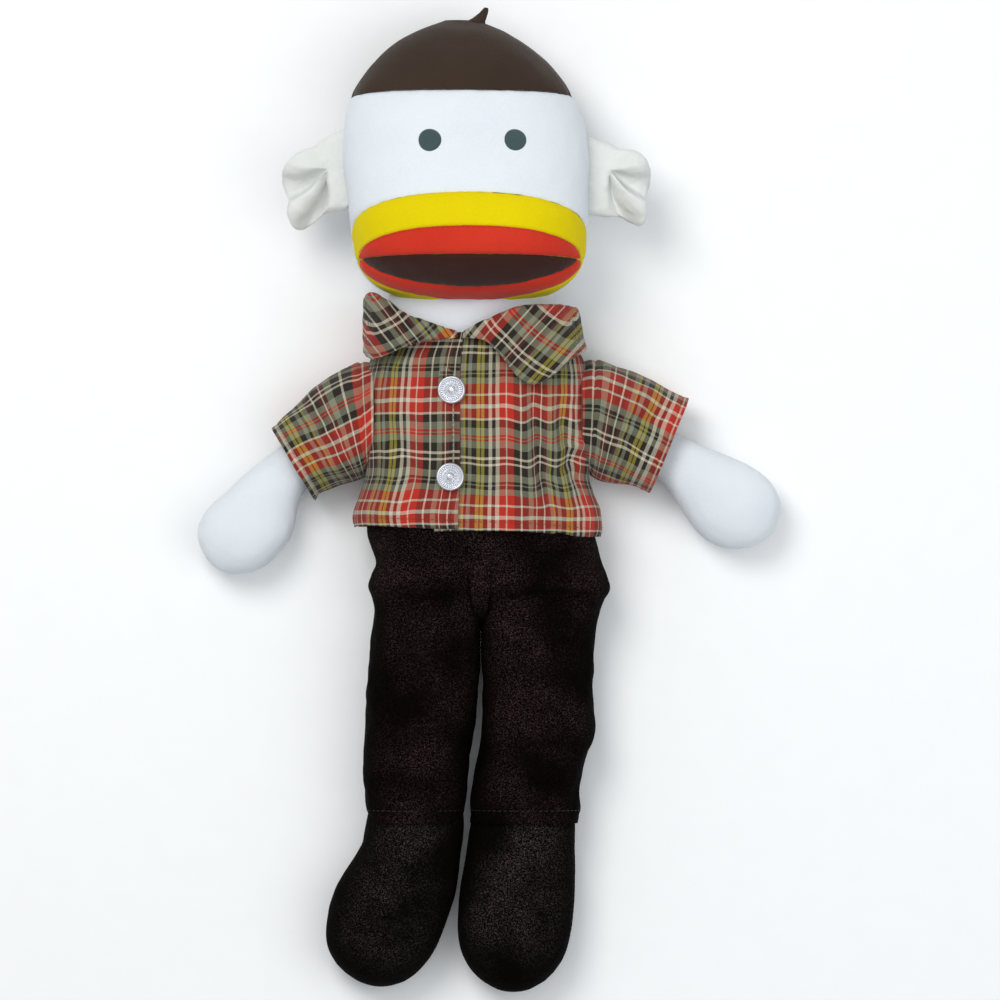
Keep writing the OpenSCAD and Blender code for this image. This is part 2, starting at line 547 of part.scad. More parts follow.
module sleeve(side) {
    color("tomato") tube(sleeve_form(side), 0, 1, thick = shirt_t, rows = 7, sides = 24);
}
module sleeve_left() { sleeve(LEFT); }
module sleeve_right() { sleeve(RIGHT); }

// The collar stands round the neck; its two leaves meet at the back and part at the throat
collar_form = [for (k = [[0, 0, 0], [0.5, 1, 0.5], [1, 3.5, 1.5]])
    [shirt_top_y + 0.4 + collar_len * k[0], [-1, shirt_top_y + 0.4 + collar_len * k[0], 90,
        shirt_side - 6.5 + k[1], 2 - k[2] / 2, shirt_top_z - 3.5 + k[2]]]];
module collar_leaf(from, to) {
    color("firebrick") panel(collar_form, function(a) shirt_top_y + 0.4,
        function(a) shirt_top_y + 0.4 + collar_len, function(y) from, function(y) to,
        outer = 0.5, thick = 1.6 * shirt_t, rows = 4, cols = 14);
}
module collar_right() { collar_leaf(-89, 74); }
module collar_left() { collar_leaf(88, 269); }

// A shank button with concentric ridges
button_x_angle = 78;
module button(y) {
    p = on_form(shirt_form, y, button_x_angle, shirt_t + 0.3);
    r = button_dia / 2;
    color("silver") translate([p[0], p[1], p[2] + 0.5]) difference() {
        rotate_extrude($fn = 48) polygon([[0, 0], [2.4, 0], [2.4, 2.4], [r - 0.8, 2.8], [r, 3.6],
            [r, 4.4], [r - 0.5, 5], [r - 1.3, 5], [r - 1.7, 4.4], [r - 2.6, 4.4], [r - 3, 4.8],
            [r - 3.5, 4.4], [0, 4.7]]);
        translate([0, 0, 1.3]) rotate([90, 0, 0]) cylinder(h = 8, d = 1.2, center = true, $fn = 16);
    }
}
button_top_y = hem_y + shirt_len * 0.755;
module button_top() { button(button_top_y); }
module button_bottom() { button(button_top_y - button_pitch); }

// ---- Trousers ------------------------------------------------------------------------------

seat_edge_y = hip_y + joint_gap + 0.6;
seat_half = torso_w / 2 + ease + denim_t;
waist_y = torso_bottom_y + 20;
seat_form = let (low_top = hip_z + leg_r + denim_t + joint_gap + 2.2,
                 high_top = torso_z + torso_d + ease * 0.5 + 0.2,
                 low_half = (hip_x(LEFT) - hip_x(RIGHT) + leg_w) / 2 + denim_t + joint_gap + 2.6)
    [for (k = [[0, low_half, low_top + 1, 3.2], [0.25, low_half, low_top + 2.5, 3.2],
               [0.5, seat_half + 1.4, low_top + 8, 2.8], [0.75, seat_half, high_top - 2.5, 2.4],
               [1, seat_half, high_top, BOXINESS]])
        [seat_edge_y + (waist_y - seat_edge_y) * k[0], [1.2, seat_edge_y + (waist_y - seat_edge_y) * k[0],
            90, k[1], floor_gap + (k[0] > 0.7 ? 1 : 0), k[2], k[3]]]];
module trouser_seat_left() {
    color("#222222") panel(seat_form, function(a) seat_edge_y, function(a) waist_y,
        function(y) 90 + SEAM, function(y) 270 - SEAM, thick = denim_t, rows = 8, cols = 14);
}
module trouser_seat_right() {
    color("#222222") panel(seat_form, function(a) seat_edge_y, function(a) waist_y,
        function(y) -90 + SEAM, function(y) 90 - SEAM, thick = denim_t, rows = 8, cols = 14);
}

head_stuffing();
face_panel();
head_back_panel();
crown_front();
crown_back();
crown_tuft();
eye_left();
eye_right();
muzzle_panel();
lip_upper();
lip_lower();
mouth_patch();
ear_left();
ear_right();
neck_cover();
neck_stuffing();
torso_front_panel();
torso_back_panel();
torso_stuffing();
upper_arm_cover_left();
upper_arm_cover_right();
upper_arm_stuffing_left();
upper_arm_stuffing_right();
hand_cover_left();
hand_cover_right();
hand_stuffing_left();
hand_stuffing_right();
leg_cover_left();
leg_cover_right();
leg_stuffing_left();
leg_stuffing_right();
foot_upper_left();
foot_upper_right();
foot_sole_left();
foot_sole_right();
foot_stuffing_left();
foot_stuffing_right();
shirt_back();
shirt_front_left();
shirt_front_right();
sleeve_left();
sleeve_right();
collar_left();
collar_right();
button_top();
button_bottom();
trouser_seat_left();
trouser_seat_right();
trouser_leg_left();
trouser_leg_right();
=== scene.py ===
import math
import bpy
import numpy as np
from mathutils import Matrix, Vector


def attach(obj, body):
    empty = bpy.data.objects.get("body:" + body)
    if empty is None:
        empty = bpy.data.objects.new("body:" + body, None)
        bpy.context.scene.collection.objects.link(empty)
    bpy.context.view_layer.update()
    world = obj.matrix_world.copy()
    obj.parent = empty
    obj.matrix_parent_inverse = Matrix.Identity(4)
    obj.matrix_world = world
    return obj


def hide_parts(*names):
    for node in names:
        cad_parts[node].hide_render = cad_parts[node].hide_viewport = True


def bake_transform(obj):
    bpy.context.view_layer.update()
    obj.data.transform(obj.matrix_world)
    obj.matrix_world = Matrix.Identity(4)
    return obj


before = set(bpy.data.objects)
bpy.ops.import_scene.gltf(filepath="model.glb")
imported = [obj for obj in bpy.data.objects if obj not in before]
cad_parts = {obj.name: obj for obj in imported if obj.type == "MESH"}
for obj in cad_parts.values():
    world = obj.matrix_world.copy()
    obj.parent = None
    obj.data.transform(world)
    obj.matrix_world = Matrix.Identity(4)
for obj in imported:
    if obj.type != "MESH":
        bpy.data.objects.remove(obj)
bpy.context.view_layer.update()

MM = 0.001
LEFT, RIGHT = 1, -1
SIDE = {LEFT: "left", RIGHT: "right"}

# ---- Camera and light ----

cam_data = bpy.data.cameras.new("camera")
cam = bpy.data.objects.new("camera", cam_data)
bpy.context.scene.collection.objects.link(cam)
cam.location = (0.0117, -0.0270, 4.0)
cam.rotation_euler = (0, 0, 0)
cam_data.lens = 264.0
cam_data.sensor_width = 36.0
cam_data.clip_end = 50
bpy.context.scene.camera = cam
bpy.context.scene.view_settings.view_transform = "Standard"

world = bpy.data.worlds.new("studio")
bpy.context.scene.world = world
world.use_nodes = True
world.node_tree.nodes["Background"].inputs[0].default_value = (0.93, 0.97, 1.0, 1)
world.node_tree.nodes["Background"].inputs[1].default_value = 0.45


def area_light(name, place, size, power, colour):
    data = bpy.data.lights.new(name, "AREA")
    data.shape = "DISK"
    data.size = size
    data.energy = power
    data.color = colour
    o = bpy.data.objects.new(name, data)
    o.location = place
    bpy.context.scene.collection.objects.link(o)
    o.rotation_euler = (Vector((0, 0, 0.03)) - o.location).to_track_quat("-Z", "Y").to_euler()


area_light("key", (-0.55, 0.75, 1.5), 0.9, 14.5, (1.0, 0.99, 0.97))
area_light("fill", (0.9, -0.2, 1.3), 1.2, 5.5, (0.94, 0.98, 1.0))
area_light("top", (0.05, 0.1, 2.1), 1.4, 7, (1, 1, 1))

# ---- Materials ----


class Nodes:
    """A material's node tree, built by name."""

    def __init__(self, name, roughness=0.9, sheen=0.0, specular=0.3):
        self.mat = bpy.data.materials.new(name)
        self.mat.use_nodes = True
        self.t = self.mat.node_tree
        self.bsdf = self.t.nodes["Principled BSDF"]
        self.bsdf.inputs["Roughness"].default_value = roughness
        self.bsdf.inputs["Sheen Weight"].default_value = sheen
        self.bsdf.inputs["Specular IOR Level"].default_value = specular
        self.coords = self.t.nodes.new("ShaderNodeTexCoord")

    def split(self, kind):
        n = self.t.nodes.new("ShaderNodeSeparateXYZ")
        self.put(n.inputs[0], self.coords.outputs[kind])
        return n.outputs

    def put(self, socket, value):
        if isinstance(value, bpy.types.NodeSocket):
            self.t.links.new(value, socket)
        else:
            socket.default_value = value

    def math(self, operation, a, b=0.0):
        n = self.t.nodes.new("ShaderNodeMath")
        n.operation = operation
        for s, v in zip(n.inputs, (a, b)):
            self.put(s, v)
        return n.outputs[0]

    def add(self, a, b):
        return self.math("ADD", a, b)

    def sub(self, a, b):
        return self.math("SUBTRACT", a, b)

    def mul(self, a, b):
        return self.math("MULTIPLY", a, b)

    def wave(self, place, period):
        return self.math("SINE", self.mul(place, 2 * math.pi / period))

    def noise(self, scale, detail=2.0, rough=0.5):
        n = self.t.nodes.new("ShaderNodeTexNoise")
        self.put(n.inputs["Vector"], self.coords.outputs["Object"])
        n.inputs["Scale"].default_value = scale
        n.inputs["Detail"].default_value = detail
        n.inputs["Roughness"].default_value = rough
        return n.outputs["Fac"]

    def ramp(self, value, stops, constant=False):
        """A colour for each value; a stop's colour may be one number, for a grey."""
        stops = [(at, c if isinstance(c, tuple) else (c, c, c)) for at, c in stops]
        n = self.t.nodes.new("ShaderNodeValToRGB")
        self.put(n.inputs[0], value)
        r = n.color_ramp
        r.interpolation = "CONSTANT" if constant else "LINEAR"
        while len(r.elements) > 1:
            r.elements.remove(r.elements[0])
        r.elements[0].position = stops[0][0]
        r.elements[0].color = (*stops[0][1], 1)
        for place, colour in stops[1:]:
            e = r.elements.new(place)
            e.color = (*colour, 1)
        return n.outputs[0]

    def mix(self, fac, a, b, blend="MIX"):
        n = self.t.nodes.new("ShaderNodeMix")
        n.data_type = "RGBA"
        n.blend_type = blend
        self.put(n.inputs[0], fac)
        for s, v in ((n.inputs[6], a), (n.inputs[7], b)):
            self.put(s, (*v, 1) if isinstance(v, tuple) and len(v) == 3 else v)
        return n.outputs[2]

    def bump(self, *layers):
        """Each layer is (height socket, distance in metres, strength)."""
        normal = None
        for height, distance, strength in layers:
            n = self.t.nodes.new("ShaderNodeBump")
            n.inputs["Strength"].default_value = strength
            n.inputs["Distance"].default_value = distance
            self.put(n.inputs["Height"], height)
            if normal is not None:
                self.put(n.inputs["Normal"], normal)
            normal = n.outputs[0]
        self.put(self.bsdf.inputs["Normal"], normal)

    def colour(self, socket):
        self.put(self.bsdf.inputs["Base Color"], socket)
        return self.mat


def srgb(r, g, b):
    shares = [c / 255 for c in (r, g, b)]
    return tuple(c / 12.92 if c <= 0.04045 else ((c + 0.055) / 1.055) ** 2.4 for c in shares)


def fleece(name, main, shade, fuzz=0.5):
    m = Nodes(name, roughness=0.95, sheen=0.12, specular=0.08)
    m.bsdf.inputs["Sheen Roughness"].default_value = 0.5
    m.bsdf.inputs["Subsurface Weight"].default_value = 0.12
    m.bsdf.inputs["Subsurface Radius"].default_value = (0.003, 0.003, 0.003)
    soft = m.noise(38.0, 3.0)
    pile = m.noise(900.0, 4.0, rough=0.7)
    fibres = m.noise(2600.0, 2.0)
    base = m.mix(m.mul(soft, 0.6), main, shade)
    base = m.mix(m.mul(m.sub(pile, 0.35), 0.35), base, shade)
    m.bump((soft, 0.0012, 0.25), (pile, 0.0006, fuzz), (fibres, 0.0002, fuzz))
    return m.colour(base)


def felt(name, main, shade, nap):
    m = Nodes(name, roughness=0.92, sheen=nap, specular=0.12)
    m.bsdf.inputs["Sheen Roughness"].default_value = 0.4
    cloud = m.noise(24.0, 3.0)
    pile = m.noise(700.0, 5.0, rough=0.75)
    hairs = m.t.nodes.new("ShaderNodeTexVoronoi")
    hairs.inputs["Scale"].default_value = 1120.0
    m.put(hairs.inputs["Vector"], m.coords.outputs["Object"])
    base = m.mix(cloud, main, shade)
    base = m.mix(m.mul(m.sub(pile, 0.4), 0.9), base, shade)
    m.bump((cloud, 0.001, 0.2), (pile, 0.0005, 0.6), (hairs.outputs["Distance"], 0.0002, 0.35))
    return m.colour(base)


def twill(name, main, light, rib=0.00105, glint_strength=0.5):
    """Near-black diagonal weave; lighter specks are painted on single threads as glints, a painted highlight
    that is strongest along the tops of the legs, and the hollows stay dark.
    """
    m = Nodes(name, roughness=0.85, specular=0.03)
    x, y, z = m.split("Object")
    along = m.add(m.add(x, m.mul(y, 0.6)), m.mul(z, 0.8))
    ribs = m.wave(along, rib)
    cross = m.wave(m.sub(y, m.mul(x, 0.35)), rib * 0.8)
    weave = m.mul(m.add(ribs, cross), 0.5)
    cloud = m.noise(26.0, 3.0)
    glint_and_fibre_noise = m.noise(1300.0, 3.0, rough=0.8)
    # Painted highlight: the glints are painted stronger the higher the cloth lies, from 33 to 46 mm above
    # the floor, so they gather along the tops of the legs and feet.
    crest = m.ramp(z, [(0.033, 0), (0.046, 1)])
    glint = m.mul(m.ramp(glint_and_fibre_noise, [(0.50, 0), (0.66, 1)]), m.ramp(cloud, [(0.36, 0.1), (0.62, 1)]))
    glint = m.mul(m.mul(glint, m.add(m.mul(crest, 0.9), 0.1)), glint_strength)
    base = m.mix(m.mul(cloud, 0.6), main, tuple(c * 1.5 for c in main))
    base = m.mix(glint, base, light)
    m.bump((cloud, 0.0015, 0.3), (weave, 0.00025, 0.6), (glint_and_fibre_noise, 0.0002, 0.5))
    return m.colour(base)


RED, MAROON, COAL = srgb(182, 40, 26), srgb(92, 34, 28), srgb(28, 26, 22)
CREAM, SAGE, OLIVE = srgb(206, 196, 174), srgb(128, 132, 110), srgb(164, 152, 56)
WARP = [(1.8, OLIVE), (0.6, COAL), (1.8, OLIVE), (2.3, COAL), (1.9, CREAM), (1.9, COAL), (2.1, CREAM),
        (3.4, RED), (0.8, CREAM), (3.5, RED), (3.5, COAL), (1.0, CREAM), (3.2, COAL), (2.7, SAGE),
        (1.6, MAROON), (0.6, CREAM), (1.6, MAROON), (2.0, COAL), (0.8, CREAM), (1.6, COAL), (1.5, MAROON),
        (1.9, SAGE), (0.8, OLIVE), (1.5, COAL), (1.9, SAGE), (2.7, COAL)]
WEFT = [(3.2, SAGE), (1.9, COAL), (0.6, SAGE), (1.5, COAL), (3.9, SAGE), (4.9, COAL), (1.3, CREAM),
        (2.1, COAL), (1.4, CREAM), (4.6, COAL), (3.9, SAGE), (1.2, RED), (0.8, SAGE), (1.2, RED),
        (3.9, SAGE), (3.9, COAL), (1.2, CREAM), (5.2, RED), (2.2, CREAM), (4.6, RED), (1.2, CREAM),
        (5.2, RED)]
# Two threads of the cloth, in millimetres
THREAD = 0.62


def plaid(name, shift):
    """Yarn-dyed cloth: stripes of warp and weft cross, thread over thread. UVs are in millimetres."""
    m = Nodes(name, roughness=0.85, sheen=0.1, specular=0.18)
    u, v, _ = m.split("UV")
    wobble = m.mul(m.sub(m.noise(60.0, 2.0), 0.5), 0.5)
    u = m.add(m.add(u, shift[0]), wobble)
    v = m.add(m.add(v, shift[1]), wobble)

    def stripes(place, sequence):
        period = sum(w for w, _ in sequence)
        stops, at = [], 0.0
        for w, colour in sequence:
            stops.append((at / period, colour))
            at += w
        return m.ramp(m.math("FRACT", m.math("DIVIDE", place, period)), stops, constant=True)

    warp, weft = stripes(u, WARP), stripes(v, WEFT)
    over = m.mul(m.wave(u, THREAD), m.wave(v, THREAD))
    fac = m.add(m.mul(over, 0.42), 0.5)
    fuzz = m.noise(1800.0, 3.0)
    base = m.mix(fac, warp, weft)
    base = m.mix(m.mul(m.sub(fuzz, 0.3), 0.25), base, srgb(120, 96, 84))
    m.bump((m.noise(45.0, 3.0), 0.0010, 0.25), (over, 0.00012, 0.6), (fuzz, 0.0001, 0.4))
    return m.colour(base)


def thread_material(name, colour, dark):
    m = Nodes(name, roughness=0.45, sheen=0.1, specular=0.5)
    n = m.noise(1400.0, 2.0)
    m.bump((n, 0.0002, 0.5))
    return m.colour(m.mix(n, colour, dark))


def embroidery(name, colour, light):
    """Satin stitch: fine parallel raised threads running across the patch; the raised middle of each thread
    is painted lighter, a painted highlight.
    """
    m = Nodes(name, roughness=0.5, sheen=0.15, specular=0.4)
    x, y, _ = m.split("Object")
    wave = m.wave(m.add(y, m.mul(x, 0.35)), 0.00072)
    n = m.noise(900.0, 3.0)
    # Painted highlight: the lighter colour follows the threads' height, so each thread is painted brightest
    # along its top.
    base = m.mix(m.mul(m.add(wave, 1.0), 0.22), colour, light)
    base = m.mix(m.mul(n, 0.3), base, colour)
    m.bump((wave, 0.00022, 0.8), (n, 0.0001, 0.3))
    return m.colour(base)


def pearl(name):
    """Silvery moulded plastic with a pearly cast; rings in the recesses are painted darker as shade, the
    centre is painted dark as its emblem, and a toothed band over the ridges is darkened.
    """
    m = Nodes(name, roughness=0.28, specular=0.6)
    m.bsdf.inputs["Metallic"].default_value = 0.55
    m.bsdf.inputs["Coat Weight"].default_value = 0.4
    swirl = m.noise(220.0, 4.0)
    grime = m.noise(700.0, 3.0)
    base = m.mix(swirl, srgb(232, 235, 240), srgb(186, 188, 200))
    u, v, _ = m.split("UV")
    # Painted shade: the rings at the recesses are painted darker; the dark centre is the emblem, and the
    # toothed band over the ridges is darkened too.
    rings = m.ramp(u, [(0.0, 0.75), (0.12, 0.2), (0.25, 0.65), (0.33, 0.15), (0.42, 0.2),
                       (0.47, 0), (0.52, 0.35), (0.55, 0), (0.82, 0), (1.0, 0.1)])
    teeth = m.mul(m.math("GREATER_THAN", m.math("SINE", m.mul(v, 60 * math.pi)), 0.25),
                   m.mul(m.math("GREATER_THAN", u, 0.59), m.math("LESS_THAN", u, 0.78)))
    base = m.mix(m.math("MAXIMUM", rings, m.mul(teeth, 0.6)), base, srgb(84, 78, 88))
    m.put(m.bsdf.inputs["Roughness"], m.add(m.mul(grime, 0.3), 0.16))
    m.bump((grime, 0.0001, 0.3), (swirl, 0.0002, 0.2))
    return m.colour(base)


WHITE = fleece("white_fleece", srgb(227, 231, 236), srgb(208, 217, 223))
EAR_WHITE = fleece("ear_fleece", srgb(228, 230, 229), srgb(206, 207, 200), fuzz=0.65)
BROWN = felt("brown_felt", srgb(66, 53, 44), srgb(50, 38, 30), nap=0.12)
YELLOW = felt("yellow_felt", srgb(227, 207, 0), srgb(214, 192, 2), nap=0.03)
SCARLET = felt("red_felt", srgb(214, 60, 38), srgb(186, 42, 30), nap=0.12)
DARK = felt("mouth_felt", srgb(66, 36, 30), srgb(46, 24, 20), nap=0.15)
# The second colour of each twill is the colour of its painted glints, a painted highlight.
BLACK = twill("black_twill", srgb(3, 1, 0), srgb(104, 80, 84), glint_strength=0.5)
FOOT = twill("foot_cloth", srgb(3, 2, 1), srgb(128, 112, 112), rib=0.0009, glint_strength=0.6)
# The eyes' second colour is the painted highlight along their threads.
EYE = embroidery("eye_thread", srgb(52, 74, 76), srgb(92, 116, 116))
PEARL = pearl("button_plastic")
PLAID_RIGHT, PLAID_LEFT = plaid("plaid_right", (0, 21.2)), plaid("plaid_left", (0.0, 24.7))
PLAID_SLEEVE, PLAID_COLLAR = plaid("plaid_sleeve", (9.0, 26.0)), plaid("plaid_collar", (5.0, -12.0))
SHIRT_THREAD = thread_material("shirt_thread", srgb(96, 60, 50), srgb(60, 40, 34))
BLACK_THREAD = thread_material("black_thread", srgb(10, 7, 6), srgb(5, 4, 4))
LIP_THREAD = thread_material("red_thread", srgb(190, 40, 30), srgb(150, 26, 22))

# ---- Curves, forms and grids (millimetres) ----


def curve(u, knots):
    """A smooth vector through the knots (u, vector), for an array of places u."""
    k = np.array([p[0] for p in knots], float)
    v = np.array([p[1] for p in knots], float)
    if v.ndim == 1:
        v = v[:, None]
    a = np.maximum(np.arange(len(k)) - 1, 0)
    b = np.minimum(np.arange(len(k)) + 1, len(k) - 1)
    slope = (v[b] - v[a]) / (k[b] - k[a])[:, None]
    u = np.asarray(u, float)
    i = np.clip(np.searchsorted(k, u, side="right") - 1, 0, len(k) - 2)
    w = (k[i + 1] - k[i])[..., None]
    s = np.clip((u[..., None] - k[i][..., None]) / w, 0, 1)
    return (v[i] * (2 * s**3 - 3 * s**2 + 1) + v[i + 1] * (3 * s**2 - 2 * s**3)
            + slope[i] * w * (s**3 - 2 * s**2 + s) + slope[i + 1] * w * (s**3 - s**2))


def boxed(c, power=2.3):
    """Turns a cosine or sine into that of a squarer round; a power of 2 is a plain ellipse."""
    return np.sign(c) * np.abs(c) ** (2 / power)


def on_form(form, u, angle, out=0.0):
    """Points on a form of (u, (x, y, heading, half width, bottom, top)); angle 0 is left, 90 on top."""
    s = curve(u, form)
    angle = np.radians(angle)
    across = np.maximum(s[..., 3] + out, 0.05) * boxed(np.cos(angle))
    up = np.maximum((s[..., 5] - s[..., 4]) / 2 + out, 0.05) * boxed(np.sin(angle))
    h = np.radians(s[..., 2])
    return np.stack([s[..., 0] - np.sin(h) * across, s[..., 1] + np.cos(h) * across,
                     (s[..., 4] + s[..., 5]) / 2 + up], -1)


def normals(p, wrap=False):
    """Unit normals of a grid of points; wrap if its columns close on themselves."""
    q = np.concatenate([p[:, -1:], p, p[:, :1]], 1) if wrap else p
    du = np.gradient(q, axis=0)
    dv = np.gradient(q, axis=1)
    n = np.cross(dv, du)
    n /= np.maximum(np.linalg.norm(n, axis=-1, keepdims=True), 1e-9)
    return n[:, 1:-1] if wrap else n


def around(form, u, cols, out=0.0):
    """Points of a closed form: a row for each place in u, and cols columns all the way round."""
    shape = (len(u), cols)
    angle = np.broadcast_to(np.linspace(0, 360, cols, endpoint=False), shape)
    return on_form(form, np.broadcast_to(u[:, None], shape), angle, out)


def facing_out(p):
    """Outward normals of a closed grid, and the step, 1 or -1, through its columns that faces out."""
    n = normals(p, wrap=True)
    order = -1 if n[len(p) // 2, p.shape[1] // 4, 2] < 0 else 1
    return n * order, order


def lumps(p, size, seed):
    """A smooth, repeatable unevenness between about -1 and 1, with features of that size in millimetres."""
    rng = np.random.default_rng(seed)
    total = np.zeros(p.shape[:-1])
    waves = 14
    for _ in range(waves):
        d = rng.normal(size=3)
        d *= 2 * math.pi / (size * rng.uniform(0.7, 1.6)) / np.linalg.norm(d)
        total += np.sin(p @ d + rng.uniform(0, 2 * math.pi))
    return total / math.sqrt(waves)


def crease(p, a, b, width, depth, bend=0.0):
    """A fold seen from above along the line a to b: negative depth is a groove. It fades out at its ends."""
    a, b = np.array(a, float), np.array(b, float)
    d = b - a
    length = np.linalg.norm(d)
    d /= length
    q = p[..., :2] - a
    t = (q @ d) / length
    off = q @ np.array([-d[1], d[0]]) - bend * np.sin(np.clip(t, 0, 1) * math.pi)
    ends = np.clip(np.minimum(t, 1 - t) / 0.3, 0, 1)
    ends = ends * ends * (3 - 2 * ends)
    return depth * ends * np.exp(-((off / width) ** 2))


def mesh_object(name, verts, faces, mat):
    me = bpy.data.meshes.new(name)
    me.from_pydata([tuple(v) for v in np.asarray(verts) * MM], [], faces)
    me.validate()
    me.materials.append(mat)
    me.polygons.foreach_set("use_smooth", [True] * len(me.polygons))
    me.update()
    o = bpy.data.objects.new(name, me)
    bpy.context.scene.collection.objects.link(o)
    return o


def grid(name, p, mat, uv=None, wrap=False, caps=(False, False)):
    """A mesh through a grid of points, rows by columns. wrap joins the last column to the first."""
    rows, cols = p.shape[:2]
    verts = list(p.reshape(-1, 3))
    faces, corners = [], []
    last = cols if wrap else cols - 1
    for i in range(rows - 1):
        for j in range(last):
            k = (j + 1) % cols
            faces.append((i * cols + j, i * cols + k, (i + 1) * cols + k, (i + 1) * cols + j))
            corners += [(i, j), (i, j + 1), (i + 1, j + 1), (i + 1, j)]
    for end, wanted in enumerate(caps):
        if wanted:
            row = 0 if end == 0 else rows - 1
            centre = len(verts)
            verts.append(p[row].mean(0))
            for j in range(last):
                k = (j + 1) % cols
                a, b = row * cols + j, row * cols + k
                faces.append((centre, b, a) if end == 0 else (centre, a, b))
                corners += [(row, j)] * 3
    o = mesh_object(name, verts, faces, mat)
    if uv is not None:
        layer = o.data.uv_layers.new(name="UVMap")
        flat = np.zeros((len(corners), 2))
        for n, (i, j) in enumerate(corners):
            flat[n] = uv[i, min(j, uv.shape[1] - 1)]
        layer.data.foreach_set("uv", flat.ravel())
    return o


def thicken(o, thick, offset=-1.0):
    m = o.modifiers.new("cloth", "SOLIDIFY")
    m.thickness = thick * MM
    m.offset = offset
    m.use_even_offset = False
    m.use_rim = True


def tube_along(name, points, radius, mat, sides):
    """A round thread or wisp along points in millimetres."""
    p = np.asarray(points, float)
    n = len(p)
    t = np.gradient(p, axis=0)
    t /= np.maximum(np.linalg.norm(t, axis=1, keepdims=True), 1e-9)
    a = np.cross(t, (0, 0, 1.0))
    a /= np.maximum(np.linalg.norm(a, axis=1, keepdims=True), 1e-6)
    b = np.cross(t, a)
    r = np.broadcast_to(np.asarray(radius, float), (n,))
    ang = np.linspace(0, 2 * math.pi, sides, endpoint=False)
    spokes = a[:, None] * np.cos(ang)[None, :, None] + b[:, None] * np.sin(ang)[None, :, None]
    rings = p[:, None] + spokes * r[:, None, None]
    return grid(name, rings, mat, wrap=True, caps=(True, True))


def stitches(name, points, mat, length, gap, radius):
    """A row of single stitches laid along points, as one mesh."""
    p = np.asarray(points, float)
    seg = np.linalg.norm(np.diff(p, axis=0), axis=1)
    at = np.concatenate([[0], np.cumsum(seg)])
    verts, faces = [], []
    place = gap
    while place + length < at[-1]:
        s = np.linspace(place, place + length, 5)
        c = np.stack([np.interp(s, at, p[:, k]) for k in range(3)], 1)
        c[:, 2] += 0.15 * np.sin(np.linspace(0, math.pi, 5))
        d = c[-1] - c[0]
        d /= max(np.linalg.norm(d), 1e-9)
        side = np.cross(d, (0, 0, 1.0))
        side /= max(np.linalg.norm(side), 1e-6)
        up = np.cross(side, d)
        r = radius * np.array([0.35, 0.9, 1.0, 0.9, 0.35])
        base = len(verts)
        for k in range(5):
            for a in np.linspace(0, 2 * math.pi, 6, endpoint=False):
                verts.append(c[k] + r[k] * (side * math.cos(a) + up * math.sin(a)))
        for k in range(4):
            for j in range(6):
                q = (j + 1) % 6
                faces.append((base + k * 6 + j, base + k * 6 + q, base + (k + 1) * 6 + q,
                              base + (k + 1) * 6 + j))
        place += length + gap
    return mesh_object(name, verts, faces, mat)


def ray(p, heading, d):
    return (p[0] + d * math.cos(math.radians(heading)), p[1] + d * math.sin(math.radians(heading)))

# ---- Padding by cloth simulation ----


# Pressure inside a cover, the most that it may swell, and its lowest place above the floor
PRESSURE, MOST, LOWEST = 4.0, 3.0, 0.3
# How far a cover is drawn in first, to make room for its swelling
DRAWN_IN = 1.0


def puff(o, voxel):
    """Fills a closed cloth form with air until its cover is taut, as stuffing does."""
    scene = bpy.context.scene
    remesh = o.modifiers.new("remesh", "REMESH")
    remesh.mode = "VOXEL"
    remesh.voxel_size = voxel * MM
    remesh.use_smooth_shade = True
    mats = list(o.data.materials)

    def settle():
        got = bpy.data.meshes.new_from_object(o.evaluated_get(bpy.context.evaluated_depsgraph_get()))
        o.modifiers.clear()
        o.data = got
        got.materials.clear()
        for m in mats:
            got.materials.append(m)
        got.polygons.foreach_set("use_smooth", [True] * len(got.polygons))

    settle()
    start = np.array([v.co for v in o.data.vertices])
    cloth = o.modifiers.new("cloth", "CLOTH")
    s = cloth.settings
    s.quality = 5
    s.mass = 0.15
    s.tension_stiffness = s.compression_stiffness = 18
    s.shear_stiffness = 9
    s.bending_stiffness = 0.4
    s.use_pressure = True
    s.uniform_pressure_force = PRESSURE
    s.effector_weights.gravity = 0
    cloth.point_cache.frame_start, cloth.point_cache.frame_end = 1, 20
    for f in range(1, 21):
        scene.frame_set(f)
    settle()
    now = np.array([v.co for v in o.data.vertices])
    scene.frame_set(1)
    move = now - start
    far = np.linalg.norm(move, axis=1, keepdims=True)
    limit = MOST * MM
    now = start + move * np.minimum(1, limit * np.tanh(far / limit) / np.maximum(far, 1e-9))
    now[:, 2] = np.maximum(now[:, 2], LOWEST * MM + 0.15 * np.minimum(now[:, 2], 0))
    o.data.vertices.foreach_set("co", now.ravel())
    o.data.update()
    sub = o.modifiers.new("smooth", "SUBSURF")
    sub.levels = sub.render_levels = 1


def dress(o, slot, *nodes, fill=None):
    """Hides the model's parts for the nodes that a piece stands for; its material slot and how full it is
    (slot, fill) are not used.
    """
    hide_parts(*nodes)


def stitched(name, points):
    """A row of the shirt's small stitches."""
    o = stitches(name, points, SHIRT_THREAD, 1.9, 0.8, 0.13)
    return o

# ---- Head ----

CHIN, HEAD_LEN, HEAD_HALF, HEAD_DEPTH = 79.5, 151.5, 66.3, 92
MUZZLE_LEN, MUZZLE_OUT, BACK = 58, 12, 0.6


def head_row(u, x, half, lift, depth, muzzle):
    y = CHIN + HEAD_LEN * u
    return y, (x, y, 90, HEAD_HALF * half, BACK + lift, BACK + HEAD_DEPTH * depth + MUZZLE_OUT * muzzle)


